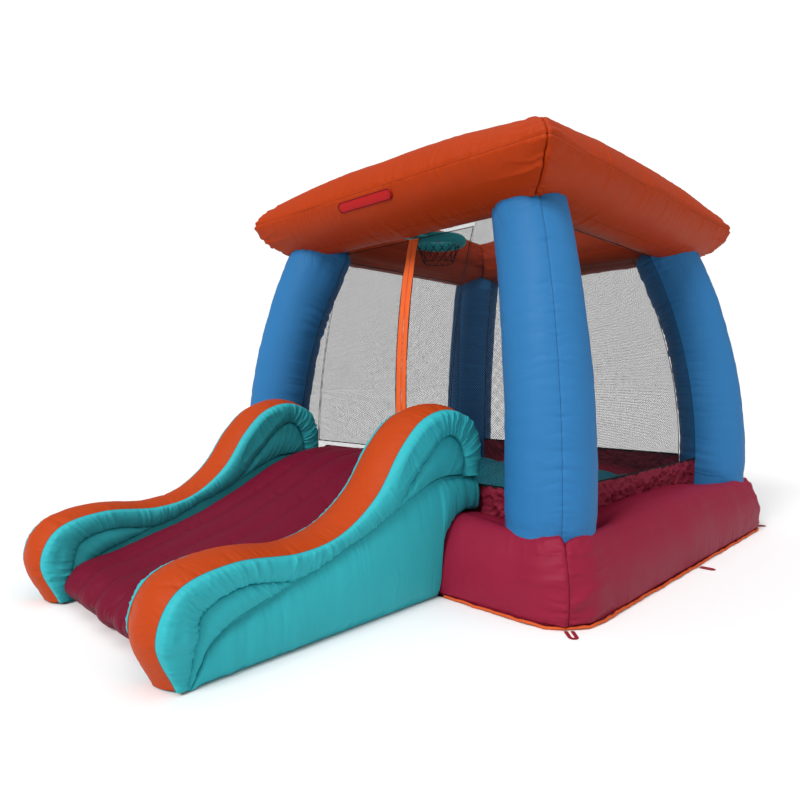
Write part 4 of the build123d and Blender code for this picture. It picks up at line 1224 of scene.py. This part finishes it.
def build_vent():
    face_y = VENT[1] - 0.002
    low, high = (np.array(v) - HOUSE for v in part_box("vent_zip_tape"))
    x = np.linspace(low[0], high[0], 90)[:, None]
    z = np.linspace(low[2], high[2], 9)[None, :]
    front = points(x, face_y + 0.0006 * np.sin(x * 60), z)
    back = front - np.array([0, 0.020, 0])
    tape = Skin().add(front, flip=True).add(back)
    for k in (0, -1):
        tape.add(np.stack([front[:, k], back[:, k]], axis=1), flip=k == 0)
        tape.add(np.stack([front[k], back[k]], axis=0), flip=k == -1)
    for k, at in enumerate(np.arange(low[0] + 0.006, high[0] - 0.004, 0.0028)):
        shift = 0.0012 if k % 2 else -0.0012
        tape.add(box_grid((at, face_y + 0.0006, VENT[2] + shift), (0.0016, 0.0016, 0.0052)), material=1)
    zipper = tape.make("vent_zip_tape_teeth", [ZIP_TAPE, BUCKLE_BLACK])
    place(zipper, "vent_zip_tape")
    low, high = (np.array(v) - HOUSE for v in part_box("vent_zip_slider"))
    centre, size = (low + high) / 2, high - low
    body = Skin().add(box_grid(centre - (0, 0.0012, 0), size * (1, 0.55, 1)))
    body.add(box_grid(centre + (0.0008, 0.0024, -0.002), size * (0.55, 0.28, 0.62)))
    slider = body.make("vent_zip_slider_body", BUCKLE_BLACK)
    place(slider, "vent_zip_slider", body="zip_slider")
    low, high = (np.array(v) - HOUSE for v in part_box("vent_flap"))
    x = np.linspace(low[0], high[0], 100)[:, None]
    z = np.linspace(low[2], high[2], 26)[None, :]
    drop = (high[2] - z) / (high[2] - low[2])
    wave = 0.0032 * drop * noise_field(x * 16, z * 4, 841) + 0.0016 * drop
    front = points(x, high[1] + np.maximum(wave, -0.0005), z)
    back = front - np.array([0, 0.0026, 0])
    flap = Skin().add(front, flip=True).add(back)
    for k in (0, -1):
        flap.add(np.stack([front[:, k], back[:, k]], axis=1), flip=k == 0)
        flap.add(np.stack([front[k], back[k]], axis=0), flip=k == -1)
    cover = flap.make("vent_flap_cloth", SLEEVE)
    place(cover, "vent_flap", body="vent_cover")
    low, high = (np.array(v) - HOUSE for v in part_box("vent_flap_hem"))
    line = points(np.linspace(low[0], high[0], 60), high[1] - 0.007, (low[2] + high[2]) / 2)
    hem = tube(line, 0.007 + 0.0006 * noise_line(np.arange(60) / 2.0, 842), sides=16, flat=0.85)
    roll = Skin().add(hem, flip=True).cap(hem[0]).cap(hem[-1], True).make("vent_flap_hem_roll", SLEEVE)
    place(roll, "vent_flap_hem")


def build_loops():
    reach = BASE_HALF + 0.018
    corner = BASE_HALF - BASE_CORNER + (BASE_CORNER + 0.018) / math.sqrt(2)
    places = {name: (sx * corner, sy * corner, math.atan2(sy, sx)) for name, (sx, sy) in CORNERS.items()}
    for name in ("right", "back", "left"):
        out_x, out_y = SIDES[name]
        places[name] = (out_x * reach, out_y * reach, math.atan2(out_y, out_x))
    for number, (name, (x, y, heading)) in enumerate(places.items()):
        straight = np.column_stack([np.linspace(0, 0.050, 12), np.full(12, -0.0125)])
        turn = np.linspace(-math.pi / 2, math.pi / 2, 16)
        bend = np.column_stack([0.050 + 0.0125 * np.cos(turn), 0.0125 * np.sin(turn)])
        path = joined(straight, bend, straight[::-1] * (1, -1))
        wave = 0.0007 * noise_line(run_of(path) / 0.02, 850 + number)
        path3 = np.column_stack([path, 0.0022 + np.abs(wave)])
        grid = tube(path3, 0.0076, sides=16, flat=0.24)
        skin = Skin()
        cos, sin = math.cos(heading), math.sin(heading)
        along, aside = grid[..., 0], grid[..., 1]
        turned_x, turned_y = x + along * cos - aside * sin, y + along * sin + aside * cos
        turned = points(turned_x, turned_y, np.maximum(grid[..., 2], 0.0004))
        skin.add(turned, flip=True).cap(turned[0], rings=3).cap(turned[-1], True, rings=3)
        loop = skin.make(f"anchor_loop_{name}_webbing", STRAP_RED, weld=0.0001)
        place(loop, f"anchor_loop_{name}", body=f"loop_{name}")


def build_inner_webs():
    """Webs inside the floor and the slide bed, lower than in CAD, so that they end under the valleys."""
    for node, share in (("floor_webs", 0.85), ("slide_bed_webs", 0.87)):
        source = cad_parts[node]
        mesh = source.data.copy()
        mesh.materials.clear()
        mesh.materials.append(WEB_WHITE)
        for vertex in mesh.vertices:
            vertex.co.z *= share
        web = bpy.data.objects.new(f"{node}_cloth", mesh)
        bpy.context.scene.collection.objects.link(web)
        web.matrix_world = source.matrix_world
        place(web, node)


# ---- camera, lights, floor ----
def make_stage():
    camera = bpy.data.objects.new("camera", bpy.data.cameras.new("camera"))
    bpy.context.scene.collection.objects.link(camera)
    camera.location = (2.304, HOUSE[1] - 3.217, 0.917)
    camera.rotation_euler = (math.radians(90 - 1.62), 0, math.radians(44.39))
    camera.data.lens = 27.83
    camera.data.sensor_width = 36
    camera.data.clip_end = 200
    bpy.context.scene.camera = camera
    floor_mesh = bpy.data.meshes.new("floor")
    size = 60
    corners = [(-size, -size, 0), (size, -size, 0), (size, size, 0), (-size, size, 0)]
    floor_mesh.from_pydata(corners, [], [(0, 1, 2, 3)])
    floor = bpy.data.objects.new("floor", floor_mesh)
    bpy.context.scene.collection.objects.link(floor)
    material, _, _, shader = new_material("floor_pale")
    set_inputs(shader, {"Base Color": (0.88, 0.88, 0.88, 1), "Roughness": 0.9, "Specular IOR Level": 0.0})
    floor_mesh.materials.append(material)
    world = bpy.data.worlds.new("studio")
    world.use_nodes = True
    nodes, links = world.node_tree.nodes, world.node_tree.links
    backdrop = nodes["Background"]
    backdrop.inputs["Color"].default_value = (1, 1, 1, 1)
    backdrop.inputs["Strength"].default_value = 1.05
    ambient = put(nodes, "ShaderNodeBackground", {"Color": (1, 1, 1, 1), "Strength": 0.32})
    seen = put(nodes, "ShaderNodeLightPath")
    choice = put(nodes, "ShaderNodeMixShader")
    links.new(seen.outputs["Is Camera Ray"], choice.inputs["Fac"])
    links.new(ambient.outputs["Background"], choice.inputs[1])
    links.new(backdrop.outputs["Background"], choice.inputs[2])
    links.new(choice.outputs["Shader"], nodes["World Output"].inputs["Surface"])
    bpy.context.scene.world = world
    for name, azimuth, height, strength, spread in (
        ("key", 6, 40, 2.7, 24),
        ("side", 95, 40, 0.65, 60),
        ("top", 0, 85, 0.7, 60),
    ):
        lamp = bpy.data.objects.new(name, bpy.data.lights.new(name, "SUN"))
        lamp.data.energy = strength
        lamp.data.angle = math.radians(spread)
        a, e = math.radians(azimuth), math.radians(height)
        back = np.array([math.sin(a) * math.cos(e), -math.cos(a) * math.cos(e), math.sin(e)])
        lamp.rotation_mode = "QUATERNION"
        lamp.rotation_quaternion = Vector(-back).to_track_quat("-Z", "Y")
        bpy.context.scene.collection.objects.link(lamp)
    bpy.context.scene.view_settings.view_transform = "Standard"


make_stage()
build_frame()
build_slide()
build_nets()
build_hem()
build_hoop()
build_badge()
build_back()
build_vent()
build_loops()
build_inner_webs()
